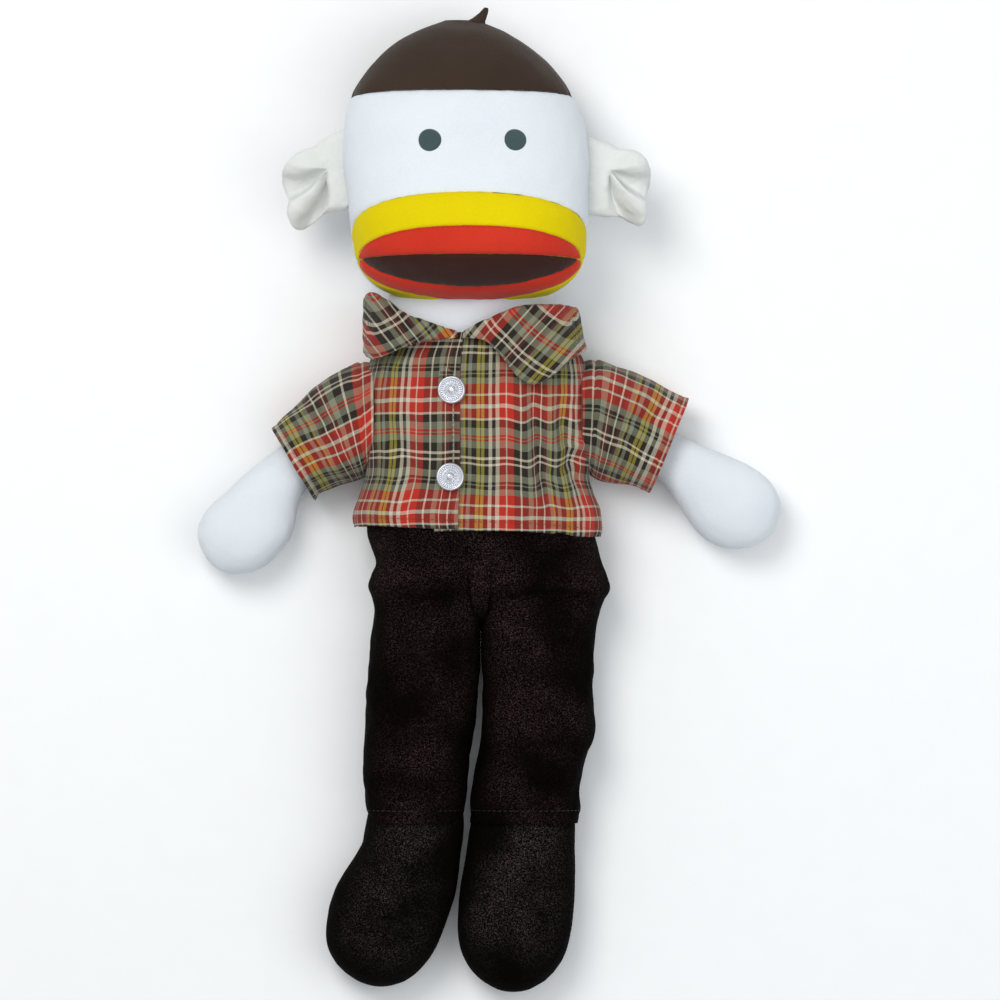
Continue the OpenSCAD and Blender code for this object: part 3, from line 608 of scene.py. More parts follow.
# Share of the height, middle, and then half width, lift off the floor, depth and muzzle
HEAD = [head_row(*k) for k in [
        (0, -4, 0.34, 13, 0.52, 0), (0.006, -4, 0.45, 10, 0.60, 0),
        (0.02, -4, 0.575, 7, 0.70, 0.1), (0.055, -4.1, 0.745, 4, 0.85, 0.3), (0.1, -4.2, 0.86, 2, 0.95, 0.5),
        (0.15, -4.4, 0.92, 0.5, 1, 0.75), (0.22, -4.7, 0.945, 0, 1, 0.97), (0.3, -5, 0.965, 0, 1, 1),
        (0.4, -5.8, 0.985, 0, 1, 0.55), (0.52, -6.6, 1, 0, 1, 0.08), (0.64, -7.6, 0.97, 0, 0.985, 0),
        (0.74, -9.3, 0.885, 2, 0.93, 0), (0.83, -9.4, 0.75, 6, 0.84, 0), (0.9, -9.7, 0.59, 12, 0.74, 0),
        (0.96, -9.4, 0.37, 22, 0.62, 0), (1, -8.8, 0.13, 34, 0.47, 0)]]


def hairline(a):
    front = CHIN + HEAD_LEN * (0.735 + 0.012 * np.sin(np.radians(np.clip(a, 0, 180))))
    return front + np.where(a > 180, HEAD_LEN * 0.2 * np.sin(np.radians(a)), 0)


def muzzle_seam(a):
    return CHIN + MUZZLE_LEN * (0.66 + 0.34 * np.sin(np.radians(a)))


def chin_edge(a):
    return np.full_like(a, CHIN)


def crown_edge(a):
    return np.full_like(a, CHIN + HEAD_LEN)


def smile(drop, corner, power, a0, a1):
    """A line across the muzzle between the corners of the mouth, rising by drop at its middle."""
    return lambda a: corner + drop * np.sin(np.pi * np.clip((a - a0) / (a1 - a0), 0, 1)) ** power


def head_panel(name, low_edge, high_edge, a0, a1, mat, rows, cols, out=0.0, puffed=0.7, tuck=1.4, seed=1,
               lump=0.35,
               tucks=(1, 1, 1, 1), fall=1.5, recess=False):
    a = np.linspace(a0, a1, cols)[None, :]
    s = np.linspace(0, 1, rows)[:, None]
    s = 0.35 * s + 0.65 * (0.5 - 0.5 * np.cos(np.pi * s))
    lo, hi = low_edge(a), high_edge(a)
    y = lo + (hi - lo) * s
    aa = np.broadcast_to(a, y.shape)
    p = on_form(HEAD, y, aa)
    n = normals(p)
    d = np.stack([y - lo + 0 * y, hi - y, (aa - a0) * math.pi / 180 * 60 + 0 * y,
                  (a1 - aa) * math.pi / 180 * 60 + 0 * y])
    seam = np.max(np.stack([t * np.exp(-(np.maximum(x, 0) / fall)) for t, x in zip(tucks, d)]), 0)
    near = np.min(np.stack([x if t else x * 0 + 99 for t, x in zip(tucks, d)]), 0)
    off = out + puffed * (1 - np.exp(-np.maximum(near, 0) / 7)) - tuck * seam
    off = off + lump * lumps(p, 46, seed) + 0.12 * lumps(p, 14, seed + 50)
    pucker = 0.12 * np.exp(-np.maximum(near, 0) / 3.0) * lumps(p, 5.5, seed + 90)
    if recess:
        edge = np.minimum(y - LIP_LOW(aa), LIP_TOP(aa) - y)
        off = off - 1.9 / (1 + np.exp(-(edge - 0.8) / 0.35))
    return grid(name, p + n * (off + pucker)[..., None], mat)


lining_u = CHIN + HEAD_LEN * (0.015 + 0.94 * (0.5 - 0.5 * np.cos(np.linspace(0, np.pi, 50))))
lining = grid("head_lining", around(HEAD, lining_u, 64, -4.0), WHITE, wrap=True, caps=(True, True))
face = head_panel("face", muzzle_seam, hairline, 0, 180, WHITE, 70, 150, seed=3)
nape = head_panel("head_back", chin_edge, hairline, 180, 360, WHITE, 80, 130, seed=4)
LIP_TOP, MOUTH_TOP = smile(17.0, 102.5, 0.7, 14, 166), smile(1.6, 102.0, 1.0, 20, 160)
MOUTH_LOW, LIP_LOW = smile(-14.6, 101.4, 0.7, 20, 160), smile(-21.55, 101.2, 0.36, 11, 169)
muzzle = head_panel("muzzle", chin_edge, muzzle_seam, 0, 180, YELLOW, 110, 190, seed=5, puffed=0.7,
                    lump=0.15,
                    tucks=(0, 1, 1, 1), recess=True)
crown_f = head_panel("crown_front", hairline, crown_edge, 0, 180, BROWN, 50, 130, seed=6, out=0.3,
                     tucks=(1, 0, 1, 1), tuck=1.2)
crown_b = head_panel("crown_back", hairline, crown_edge, 180, 360, BROWN, 60, 130, seed=7, out=0.3,
                     tucks=(1, 0, 1, 1), tuck=1.2)
lip_u = head_panel("lip_upper", MOUTH_TOP, LIP_TOP, 14, 166, SCARLET, 34, 190, out=0.35, puffed=1.3,
                   tuck=1.3, seed=8,
                   lump=0.1, tucks=(1, 1, 0, 0), fall=0.7)
lip_l = head_panel("lip_lower", LIP_LOW, MOUTH_LOW, 12, 168, SCARLET, 30, 190, out=0.35, puffed=1.3,
                   tuck=1.3, seed=9,
                   lump=0.1, tucks=(1, 1, 0, 0), fall=0.7)
mouth = head_panel("mouth", MOUTH_LOW, MOUTH_TOP, 20, 160, DARK, 26, 190, out=-0.1, puffed=0.3, tuck=0.4,
                   seed=10,
                   lump=0.08, tucks=(1, 1, 0, 0), fall=0.7)


def head_line(edge, a0, a1, n=160, out=0.0):
    a = np.linspace(a0, a1, n)
    p = on_form(HEAD, edge(a)[None, :].repeat(3, 0) + np.array([[-0.5], [0], [0.5]]),
                np.broadcast_to(a, (3, n)))
    nn = normals(p)
    return p[1] + nn[1] * out


lip_seam = head_line(lambda a: LIP_TOP(a) - 1.0, 20, 160, out=1.15)
lip_stitches = stitches("stitches_lip_top", lip_seam, LIP_THREAD, 1.8, 0.9, 0.16)


def surface_frame(form, y, angle, out=0.0):
    """Point and (sideways, upwards, outwards) directions on a form."""
    yy = np.array([[y - 0.5] * 3, [y] * 3, [y + 0.5] * 3])
    aa = np.array([[angle - 0.5, angle, angle + 0.5]] * 3)
    p = on_form(form, yy, aa)
    n = normals(p)[1, 1]
    side = p[1, 2] - p[1, 0]
    side /= np.linalg.norm(side)
    return p[1, 1] + n * out, side, np.cross(n, side), n


def disc(place, rings, h):
    """Points of a round piece on a surface; h is its height at each ring's radius and each step round."""
    c, side, up, n = place
    ang = np.linspace(0, 2 * np.pi, h.shape[1], endpoint=False)
    r = np.asarray(rings)[:, None]
    return c + side * (r * np.cos(ang))[..., None] + up * (r * np.sin(ang))[..., None] + n * h[..., None]


def angle_at(form, y, x):
    s = curve(np.array([y]), form)[0]
    c = (s[0] - x) / s[3]
    return math.degrees(math.acos(math.copysign(abs(c) ** 1.15, c)))


EYE_Y, EYE_R = 164.8, 6.45
EYE_RINGS = [0.4, 1.3, 2.3, 3.3, 4.3, 5.1, 5.7, 6.0, 6.3, 6.45, 6.55]
eyes = {}
for side, x in ((RIGHT, -25.7), (LEFT, 19.7)):
    place = surface_frame(HEAD, EYE_Y, angle_at(HEAD, EYE_Y, x), 0.45)
    turn = np.linspace(0, 2 * np.pi, 90, endpoint=False)
    r = np.array(EYE_RINGS)[:, None]
    edge = np.clip((EYE_R + 0.1 * np.sin(3 * turn + 1) + 0.07 * np.sin(41 * turn) - r) / 0.9, 0, 1)
    h = -0.9 + 1.55 * edge ** 0.5 + 0.35 * (1 - (r / 6.5) ** 2)
    p = disc(place, EYE_RINGS, h)
    eyes[side] = grid("eye_" + SIDE[side], p[::-1], EYE, wrap=True, caps=(False, True))

# The tuft is a rolled wisp of the crown's felt, and a small cap closes the crown beside it
t = np.linspace(0, 1, 14)
tuft_line = np.stack([-1.5 + 6.4 * t - 0.6 * t**2, 229.0 + 6.5 * t + 3.2 * t**2, 42.5 + 0.5 * t], 1)
crown_cap_u = np.linspace(CHIN + 0.968 * HEAD_LEN, CHIN + 0.9995 * HEAD_LEN, 16)
crown_cap = grid("crown_cap", around(HEAD, crown_cap_u, 90, -0.2), BROWN, wrap=True, caps=(True, True))
tuft = tube_along("tuft", tuft_line, 3.9 * (1 - t) ** 0.8 + 0.8, BROWN, sides=12)
v = np.array([q.co for q in tuft.data.vertices]) / MM
v += (0.3 * lumps(v, 3.5, 77))[:, None] * np.array([1, 0.3, 1])
tuft.data.vertices.foreach_set("co", (v * MM).ravel())

for o, slot, node in (
        (lining, "white_fleece", "head_stuffing"), (face, "white_fleece", "face_panel"),
        (nape, "white_fleece", "head_back_panel"), (muzzle, "yellow_felt", "muzzle_panel"),
        (crown_f, "brown_felt", "crown_front"), (crown_b, "brown_felt", "crown_back"),
        (tuft, "brown_felt", "crown_tuft"), (lip_u, "red_felt", "lip_upper"),
        (lip_l, "red_felt", "lip_lower"), (mouth, "mouth_felt", "mouth_patch"),
        (eyes[RIGHT], "eye_thread", "eye_right"), (eyes[LEFT], "eye_thread", "eye_left")):
    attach(o, "head")
    dress(o, slot, node)
for o, slot in ((crown_cap, "brown_felt"), (lip_stitches, "red_felt")):
    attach(o, "head")

# ---- Ears: doubled fleece, pleated into folds that fan out from the sewn root ----


EAR_RIM = {RIGHT: [(-71, 129), (-80, 128), (-86.5, 125.6), (-90.7, 121.2), (-96, 118.9), (-101, 121.3),
                   (-102.8, 127.5), (-102, 133.6), (-104.4, 139.5), (-106, 146.9), (-104, 154), (-97, 160),
                   (-89, 163.2), (-79, 170.5), (-71, 173)],
           LEFT: [(57, 126.5), (67, 125.6), (77, 125.2), (82, 122.6), (86.4, 120.8), (90, 123), (91.4, 129),
                  (90.6, 136), (93, 144.5), (92.4, 152.5), (89, 158.6), (83, 161.6), (76, 162.2), (68, 166),
                  (57, 170.5)]}
EAR_PINCH = {RIGHT: (-81, 151), LEFT: (70, 151)}
# Height of the pleats round the pinch, by the angle above the outward direction
PLEATS = [(-180, 0), (-104, 1.2), (-88, 0), (-75, -5.5), (-63, 4.0), (-52, 8.0), (-43, 6.6), (-37, -5.6),
          (-27, -7.5), (-12, -4.6), (-2, 2.4), (10, 5.6), (28, 4.4), (60, 0.8), (180, 0)]


def ear(side):
    rows, half_cols = 150, 52
    rim = EAR_RIM[side]
    place = np.cumsum([0] + [math.dist(a, b) for a, b in zip(rim, rim[1:])])
    v = np.linspace(0, 1, rows)
    edge = curve(v, list(zip(place / place[-1], rim)))[:, None, :]
    root_x = -70.0 if side < 0 else 56.5
    root = np.stack([np.full(rows, root_x), 132 + 36 * v], -1)[:, None, :]
    u = 1 - (1 - np.linspace(0, 1, half_cols)) ** 1.35
    flat = root + (edge - root) * u[None, :, None]
    reach = np.linalg.norm(edge - root, axis=-1) * (1 - u[None, :])
    px, py = EAR_PINCH[side]
    dx, dy = side * (flat[..., 0] - px), flat[..., 1] - py
    angle = np.degrees(np.arctan2(dy, dx)) + 5 * np.sin(np.hypot(dx, dy) / 7.0)
    spread = np.clip((np.hypot(dx, dy) - 0.5) / 16, 0, 1)
    folds = curve(angle, PLEATS)[..., 0] * spread * (2 - spread) * (1.0 if side < 0 else 0.95)
    thick = 3.4 * np.sqrt(1 - np.exp(-reach / 2.2)) + 0.25
    sag = -2.0 * u[None, :] ** 2
    upper = np.concatenate([flat, (46.6 + folds + sag + thick)[..., None]], -1)
    lower = np.concatenate([flat, (46.6 + 0.8 * folds + sag - thick)[..., None]], -1)
    p = np.concatenate([upper, lower[:, ::-1]], 1)
    if side < 0:
        p = p[:, ::-1]
    n = normals(p, wrap=True)
    p = p + n * (0.3 * lumps(p, 12, 20 + side) + 0.12 * lumps(p, 5, 30 + side))[..., None]
    o = grid("ear_" + SIDE[side] + "_cloth", p, EAR_WHITE, wrap=True, caps=(True, True))
    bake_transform(o)
    dress(o, "white_fleece", "ear_" + SIDE[side], fill=0.3)


for side in (LEFT, RIGHT):
    ear(side)

# ---- Neck ----

NECK = [(55, (-4, 55, 90, 37, 16, 52)), (57, (-4, 57, 90, 40, 12, 56)), (60, (-4, 60, 90, 43, 8.8, 59.5)),
        (67, (-4, 67, 90, 45, 7.5, 60.5)), (79, (-4, 79, 90, 45.5, 8, 60)), (88, (-4, 88, 90, 42, 10, 58))]
p = around(NECK, np.linspace(55, 88, 40), 96)
p = p + normals(p, wrap=True) * (0.4 * lumps(p, 22, 41))[..., None]
neck = grid("neck_fleece", p, WHITE, wrap=True, caps=(True, True))
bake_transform(neck)
dress(neck, "white_fleece", "neck_cover", "neck_stuffing", fill=0.8)

# ---- Shirt ----

HEM, TOP = -43.0, 56.0
SHIRT_LEN = TOP - HEM
SHIRT = [(HEM + SHIRT_LEN * k[0], (0, HEM + SHIRT_LEN * k[0], 90, 59.5 + k[1], 0.2 + k[2], 66.8 - k[3]))
         for k in [(-0.06, 6.4, 0, 0.9), (0, 6.5, 0, 0.5), (0.1, 6, 0, 0.2), (0.18, 3.4, 0, 0),
                   (0.25, 1.4, 0, 0), (0.3, 0.4, 0, 0),
                   (0.6, 0, 0, 0.3), (0.8, -0.5, 0, 1), (0.92, -2.5, 0.8, 2), (1, -6.5, 2.4, 3.5),
                   (1.1, -12, 5, 3.4)]]


def shirt_panel(name, a0, a1, hem, top, out, mat, rows, cols, seed, folds, uv_shift=(0, 0), back=False):
    a = np.linspace(a0, a1, cols)[None, :]
    s = np.linspace(0, 1, rows)[:, None]
    y = hem(a) + (top(a) - hem(a)) * s
    aa = np.broadcast_to(a, y.shape)
    p = on_form(SHIRT, y, aa, out)
    n = normals(p)
    x = p[..., 0]
    slack = np.clip((34 - p[..., 1]) / 80, 0, 1)
    off = 0.5 * lumps(p, 30, seed) + 0.18 * lumps(p, 9, seed + 1)
    off = off + 0.8 * slack * np.sin(x / 8.5 + 0.02 * p[..., 1] * x / 10 + seed)
    for f in folds:
        off = off + crease(p, *f)
    if not back:
        off = off - 0.7 * np.exp(-((s * SHIRT_LEN) / 1.6))
    q = p + n * off[..., None]
    q[..., 2] = np.maximum(q[..., 2], 0.25)
    step = np.linalg.norm(np.diff(q, axis=1), axis=-1)
    across = np.concatenate([np.zeros((rows, 1)), np.cumsum(step, 1)], 1)
    middle = across[rows // 2]
    across = across + (middle - across) * 0.6
    uv = np.stack([across + uv_shift[0], y + off * 0.8 + uv_shift[1]], -1)
    return grid(name, q, mat, uv=uv), q


PLACKET, UNDER = 83.0, 72.0
hem_r = lambda a: HEM + 1.2 + 0.9 * np.sin(np.radians(a * 3.1)) + 0 * a
hem_l = lambda a: HEM - 0.6 - 3.8 * np.clip((a - 80) / 100, 0, 1) + 0.7 * np.sin(np.radians(a * 4.3))
top_f = lambda a: TOP + 2.0 + 5.2 * np.exp(-((a - 84) / 26.0) ** 2)
top_b = lambda a: TOP + 3.0 + 0 * a
front_r, pr = shirt_panel("shirt_front_right_cloth", 0.3, PLACKET, hem_r, top_f, 1.25, PLAID_RIGHT,
                          130, 110, 61,
                          [((-58, 22), (-30, -34), 5, -0.8, 4), ((-52, 40), (-22, 52), 4, 0.9, 1),
                           ((-30, -10), (-24, -42), 4, -0.7, 0),
                           ((-50, 6), (-40, -42), 4.5, 0.9, 1)], uv_shift=(21.1, 0.0))
front_l, pl = shirt_panel("shirt_front_left_cloth", UNDER, 179.7, hem_l, top_f, 0.15, PLAID_LEFT,
                          130, 140, 62,
                          [((22, 44), (33, -40), 4.2, 1.9, -3), ((29, 42), (42, -42), 3.4, -1.9, -3),
                           ((36, 36), (52, -40), 4.2, 2.0, -4),
                           ((44, 30), (60, -30), 3.2, -1.7, -3), ((12, 40), (20, -36), 5.0, -0.9, -2),
                           ((50, 24), (63, -14), 3.0, 1.4, -2),
                           ((58, -2), (40, -14), 2.6, -1.4, 0), ((60, 4), (38, -2), 2.4, 1.1, 0)],
                          uv_shift=(-20.7, 0.0))
back, _ = shirt_panel("shirt_back_cloth", 180.3, 359.7, lambda a: HEM + 1.5 + 0 * a, top_b, 0.0, PLAID_LEFT,
                      110, 160, 63,
                      [((30, 40), (20, -30), 6, -0.8, 0), ((-30, 40), (-22, -30), 6, -0.8, 0)], back=True)
for o, node in ((front_r, "shirt_front_right"), (front_l, "shirt_front_left"), (back, "shirt_back")):
    thicken(o, 0.9)
    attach(o, "torso")
    dress(o, "plaid_cotton", node)


LIFT = 0.25


def row_points(q, row_mm):
    """Points of a panel row that lies row_mm above its hem."""
    y = q[:, q.shape[1] // 2, 1]
    r = int(np.argmin(np.abs(y - (y[0] + row_mm))))
    return (q + normals(q) * LIFT)[r, 2:-2]


placket_edge = (pr + normals(pr) * LIFT)[2:-2, -5]
for name, points in (("hem_stitches_right", row_points(pr, 5.0)), ("hem_stitches_left", row_points(pl, 5.0)),
                     ("placket_stitches", placket_edge)):
    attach(stitched(name, points), "torso")

# ---- Buttons: silvery shank buttons, a ring of small ridges between two raised rims ----


BUTTON_R = 7.5


def button(name, q, x, y, turn):
    flat = q.reshape(-1, 3)
    k = np.argmin((flat[:, 0] - x) ** 2 + (flat[:, 1] - y) ** 2)
    n = normals(q).reshape(-1, 3)[k]
    n = n / np.linalg.norm(n)
    side = np.cross((0, 1, 0), n)
    side /= np.linalg.norm(side)
    up = np.cross(n, side)
    c = np.array([x, y, flat[k][2]]) + n * 1.0
    rings = [0.2, 0.8, 1.3, 1.6, 1.9, 2.3, 2.5, 2.7, 3.1, 3.5, 3.7, 3.9, 4.1, 4.4, 4.9, 5.4, 5.8, 6.1, 6.3,
             6.6, 6.9, 7.2, 7.4, 7.5,
             7.45, 7.1]

    r = np.asarray(rings)[:, None]
    ang = np.linspace(0, 2 * np.pi, 360, endpoint=False)
    a = ang + turn
    inner = np.minimum(r, BUTTON_R)
    steps = [0, 1.2, 1.7, 2.2, 2.6, 3.2, 3.7, 4.1, 6.0, 6.4, 6.9, 7.3, BUTTON_R]
    h = np.interp(inner, steps, [2.5, 2.5, 2.1, 2.6, 2.6, 1.8, 2.7, 1.9, 2.0, 2.9, 2.9, 2.4, 1.2])
    comb = 0.5 + 0.5 * np.sign(np.sin(30 * a)) * np.abs(np.sin(30 * a)) ** 0.4
    ridges = np.exp(-((inner - 5.1) / 0.62) ** 4) * 0.42 * comb
    petals = np.exp(-((inner - 2.9) / 0.35) ** 2) * 0.25 * np.sin(12 * a)
    h = h + ridges + petals - 1.2
    h[-1] = -0.4
    h[-2] = h[-3] - 0.7
    p = disc((c, side, up, n), rings, h + 1.2)
    uv = np.stack([r / BUTTON_R + 0 * ang, ang / (2 * math.pi) + 0 * r], -1)
    o = grid(name + "_face", p[::-1], PEARL, uv=uv[::-1], wrap=True, caps=(True, True))
    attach(o, "torso")
    dress(o, "button_plastic", name)
    s = np.linspace(0, 1, 7)
    for i, dx in enumerate((-1.0, 1.0)):
        line = c + side * dx + n * (0.3 - 1.5 * s)[:, None]
        thread = tube_along(f"{name}_thread_{i}", line, 0.35, SHIRT_THREAD, sides=6)
        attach(thread, "torso")


button("button_top", pr, -14.0, 31.9, 0.2)
button("button_bottom", pr, -15.0, -14.6, 0.9)

# ---- Collar: a stand that rises from the neckline and a fall that turns down over it ----


def collar_leaf(name, seam, fold, edge, seed, uv_turn, uv_shift):
    """Each line is a list of points from the throat to the middle of the back."""
    cols, rows_s, rows_f = 110, 16, 34
    t = np.linspace(0, 1, cols)

    s, f, e = curve(t, seam), curve(t, fold), curve(t, edge)
    rise = np.linspace(0, 1, rows_s)[:, None, None]
    fall = np.linspace(0, 1, rows_f)[:, None, None]
    inner = s + (f - s) * rise + np.array([0, 0, 1.0]) * (1.2 * np.sin(np.pi * rise))
    belly = np.linalg.norm(e - f, axis=-1)[None, :, None] * 0.10
    outer = f + (e - f) * fall + np.array([0, 0, 1.0]) * (belly * np.sin(np.pi * fall) ** 0.8)
    p = np.concatenate([inner, outer[1:]], 0)
    n = normals(p)
    p = p + n * (0.45 * lumps(p, 16, seed) + 0.2 * lumps(p, 6, seed + 3))[..., None]
    c, d = math.cos(math.radians(uv_turn)), math.sin(math.radians(uv_turn))
    x, y, z = p[..., 0], p[..., 1], p[..., 2]
    flat = np.stack([x * c - y * d + uv_shift[0], x * d + y * c + z * 0.5 + uv_shift[1]], -1)
    o = grid(name + "_cloth", p, PLAID_COLLAR, uv=flat)
    thicken(o, 1.1, offset=0)
    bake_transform(o)
    dress(o, "plaid_cotton", name)
    return p


cl = collar_leaf(
    "collar_left",
    [(0, (-8.5, 60.5, 66.2)), (0.12, (2, 61, 66.4)), (0.3, (22, 61.5, 65)), (0.5, (40, 60.5, 58)),
     (0.68, (49.5, 59, 36)), (0.85, (38, 59, 9)), (1, (0.8, 59, 4))],
    [(0, (-7.6, 63.2, 67.6)), (0.12, (3, 69, 69.8)), (0.3, (22, 76.0, 70)), (0.5, (42, 77.6, 62)),
     (0.68, (53.5, 76, 38)), (0.85, (41, 74.5, 7)), (1, (0.8, 73.5, 2.4))],
    [(0, (-6.4, 60.2, 68.6)), (0.10, (6, 57.5, 70.6)), (0.28, (27.5, 35.2, 70.4)), (0.46, (50.5, 48.6, 62)),
     (0.62, (57.5, 54, 44)), (0.8, (50, 56, 9)), (1, (0.8, 55, 1.2))],
    71, 42, (0, 0))
cr = collar_leaf(
    "collar_right",
    [(0, (-11.0, 60.5, 66.8)), (0.12, (-20, 59.5, 66.8)), (0.3, (-34, 58.5, 63)), (0.5, (-48, 58.5, 52)),
     (0.68, (-52.5, 58.5, 33)), (0.85, (-42, 59, 9)), (1, (-0.8, 59, 4))],
    [(0, (-11.4, 63.0, 67.8)), (0.12, (-22, 66.6, 69.6)), (0.3, (-37, 72.0, 68)), (0.5, (-56.5, 84.0, 56)),
     (0.68, (-60.5, 80, 38)), (0.85, (-46, 74.5, 7)), (1, (-0.8, 73.5, 2.4))],
    [(0, (-12.2, 60.0, 69.0)), (0.12, (-24, 59.0, 70.2)), (0.3, (-40, 55.0, 67.5)),
     (0.46, (-55.5, 48.6, 58)), (0.64, (-61.5, 53, 38)), (0.82, (-52, 56, 8)), (1, (-0.8, 55, 1.2))],
    72, -38, (21, -25))
for name, q in (("collar_stitches_left", cl), ("collar_stitches_right", cr)):
    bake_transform(stitched(name, (q + normals(q) * 0.75)[-4, 3:70]))

# ---- Sleeves ----

SHOULDER_Y = 17.0
SHOULDER_X, UPPER_ARM, ELBOW_Z = 60.3, 46.0, 16.1


# Headings in degrees: the upper arm, past the elbow, and the hand
ARM, FOREARM, HAND = {LEFT: -25.0, RIGHT: 212.5}, {LEFT: -31.0, RIGHT: 223.0}, {LEFT: -40.0, RIGHT: 236.0}
HAND_LEN = 72.5


def elbow(side):
    return ray((side * SHOULDER_X, SHOULDER_Y), ARM[side], UPPER_ARM)


def sleeve(side):
    e = elbow(side)
    h = 0 if side > 0 else 180
    cuff_turn = -22.5 if side > 0 else 211.0
    cuff = 2.4 if side > 0 else -2.4
    ks = []
    for k in [(-0.14, 0, 26.5, 0.8, 52), (0, 0.12, 30, 0.4, 51), (0.15, 0.4, 30, 0.4, 50),
              (0.4, 0.8, 28.3, 0.4, 47.5), (0.7, 1, 25.6, 0.4, 44), (0.93, 1, 24.4, 0.5, 41),
              (1.0, 1, 24.4, 0.5, 40.5)]:
        turn = h + (cuff_turn - h) * k[1]
        a = side * 61.9
        x = a + (e[0] + side * 1.5 - a) * k[0]
        drop = e[1] - SHOULDER_Y - 0.5 + (4.6 if side > 0 else 0.6)
        y = SHOULDER_Y + 0.5 + drop * np.sign(k[0]) * abs(k[0]) ** 1.1
        ks.append((k[0], (x, y, turn, k[2] + cuff * max(k[0], 0), k[3], k[4])))
    rows, cols = 80, 170
    u = np.broadcast_to(np.linspace(-0.14, 1, rows)[:, None], (rows, cols))
    a = np.broadcast_to(np.linspace(0, 360, cols, endpoint=False)[None, :], (rows, cols))
    p = on_form(ks, u, a)
    n, _ = facing_out(p)
    gather = np.exp(-np.maximum(u, 0) / 0.12) * np.clip(u / 0.02 + 0.4, 0, 1)
    off = 0.6 * lumps(p, 26, 81 + side) + 0.2 * lumps(p, 9, 83 + side) + 0.55 * gather * lumps(p, 6.0,
            85 + side)
    base = (side * 64.0, SHOULDER_Y)
    for da, w, d, l in ((24, 3.4, -1.3, 26), (8, 3.0, 0.9, 30), (-12, 3.2, -1.1, 24), (-30, 3.6, 1.1, 22),
                        (40, 3.5, 0.8, 22)):
        far = ray(base, ARM[side] + side * da, l + 14)
        off = off + crease(p, ray(base, ARM[side] + side * da, 3), far, w, d) * (np.sin(np.radians(a)) > 0)
    off = off - 0.5 * np.exp(-((u - 0.93) / 0.008) ** 2) - 0.9 * np.exp(-((u - 0.0) / 0.018) ** 2)
    off = off + 0.9 * np.clip((u - 0.9) / 0.1, 0, 1) * lumps(p, 24, 87 + side)
    p = p + n * off[..., None]
    p[..., 2] = np.maximum(p[..., 2], 0.3)
    ring = np.linalg.norm(np.diff(np.concatenate([p, p[:, :1]], 1), axis=1), axis=-1)
    around = np.concatenate([np.zeros((rows, 1)), np.cumsum(ring, 1)], 1)
    around = 0.5 * around + 0.5 * around[rows // 2]
    along = np.concatenate([u, u[:, :1]], 1) * 42.0
    uv = np.stack([along + 12 + side * 4, around * side], -1)
    q = np.concatenate([p, p[:, :1]], 1)
    if side < 0:
        q, uv = q[:, ::-1], uv[:, ::-1]
    o = grid("sleeve_" + SIDE[side] + "_cloth", q[:, ::-1], PLAID_SLEEVE, uv=uv[:, ::-1])
    thicken(o, 0.9)
    name = SIDE[side]
    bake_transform(o)
    dress(o, "plaid_cotton", "sleeve_" + name)
    hem = int(rows * 0.93)
    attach(stitched("cuff_stitches_" + name, (p + n * LIFT)[hem]), "upper_arm_" + name)


for side in (LEFT, RIGHT):
    sleeve(side)

# ---- Arms and mitten hands ----


def arm(side):
    name = SIDE[side]
    ks = [(d, (*ray((side * SHOULDER_X, SHOULDER_Y), ARM[side], d), ARM[side], w, 2.8, t))
          for d, w, t in ((-14, 6, 26), (-8, 11.5, 29), (0, 14.5, 31), (14, 15.0, 32), (30, 14.8, 31.5),
                          (40, 14.4, 30.5))]
    e = elbow(side)
    for k, half, thick, turn in ((0.0, 14.2, 13.5, 0), (0.14, 15.6, 14.6, 0.2), (0.3, 19.4, 16.2, 0.7),
            (0.46, 22.8, 17.4, 1), (0.62, 24.4, 17.6, 1), (0.76, 23.2, 16.4, 1), (0.88, 18.2, 13.2, 1),
            (0.96, 10.5, 8.6, 1), (1.0, 4.0, 4.0, 1)):
        d = k * HAND_LEN
        swing = (HAND[side] - FOREARM[side]) * turn
        q = ray(e, FOREARM[side] + 0.7 * swing, d)
        mid = ELBOW_Z + (18.4 - ELBOW_Z) * min(k * 2, 1)
        ks.append((UPPER_ARM + d, (*q, FOREARM[side] + swing, half, mid - thick, mid + thick)))
    rows, cols = 110, 96
    t = np.linspace(0, 1, rows)
    u = -14 + (UPPER_ARM + HAND_LEN + 14) * (t * 0.55 + 0.45 * (0.5 - 0.5 * np.cos(np.pi * t)))
    p = around(ks, u, cols)
    n, order = facing_out(p)
    off = 0.5 * lumps(p, 30, 91 + side) + 0.12 * lumps(p, 10, 93 + side) - DRAWN_IN
    p = p + n * off[..., None]
    p[..., 2] = np.maximum(p[..., 2], 0.4)
    p = p[:, ::order]
    o = grid("hand_" + name + "_fleece", p, WHITE, wrap=True, caps=(True, True))
    puff(o, voxel=4.0)
    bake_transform(o)
    nodes = [part + name for part in ("upper_arm_cover_", "upper_arm_stuffing_", "hand_cover_",
            "hand_stuffing_")]
    dress(o, "white_fleece", *nodes, fill=0.85)


for side in (LEFT, RIGHT):
    arm(side)

# ---- Trousers: one half for each leg, sewn together down the middle ----

# The trousers' middle seam, and half the gap between the two halves there
SEAM_X, HALF_GAP = 1.2, 0.35


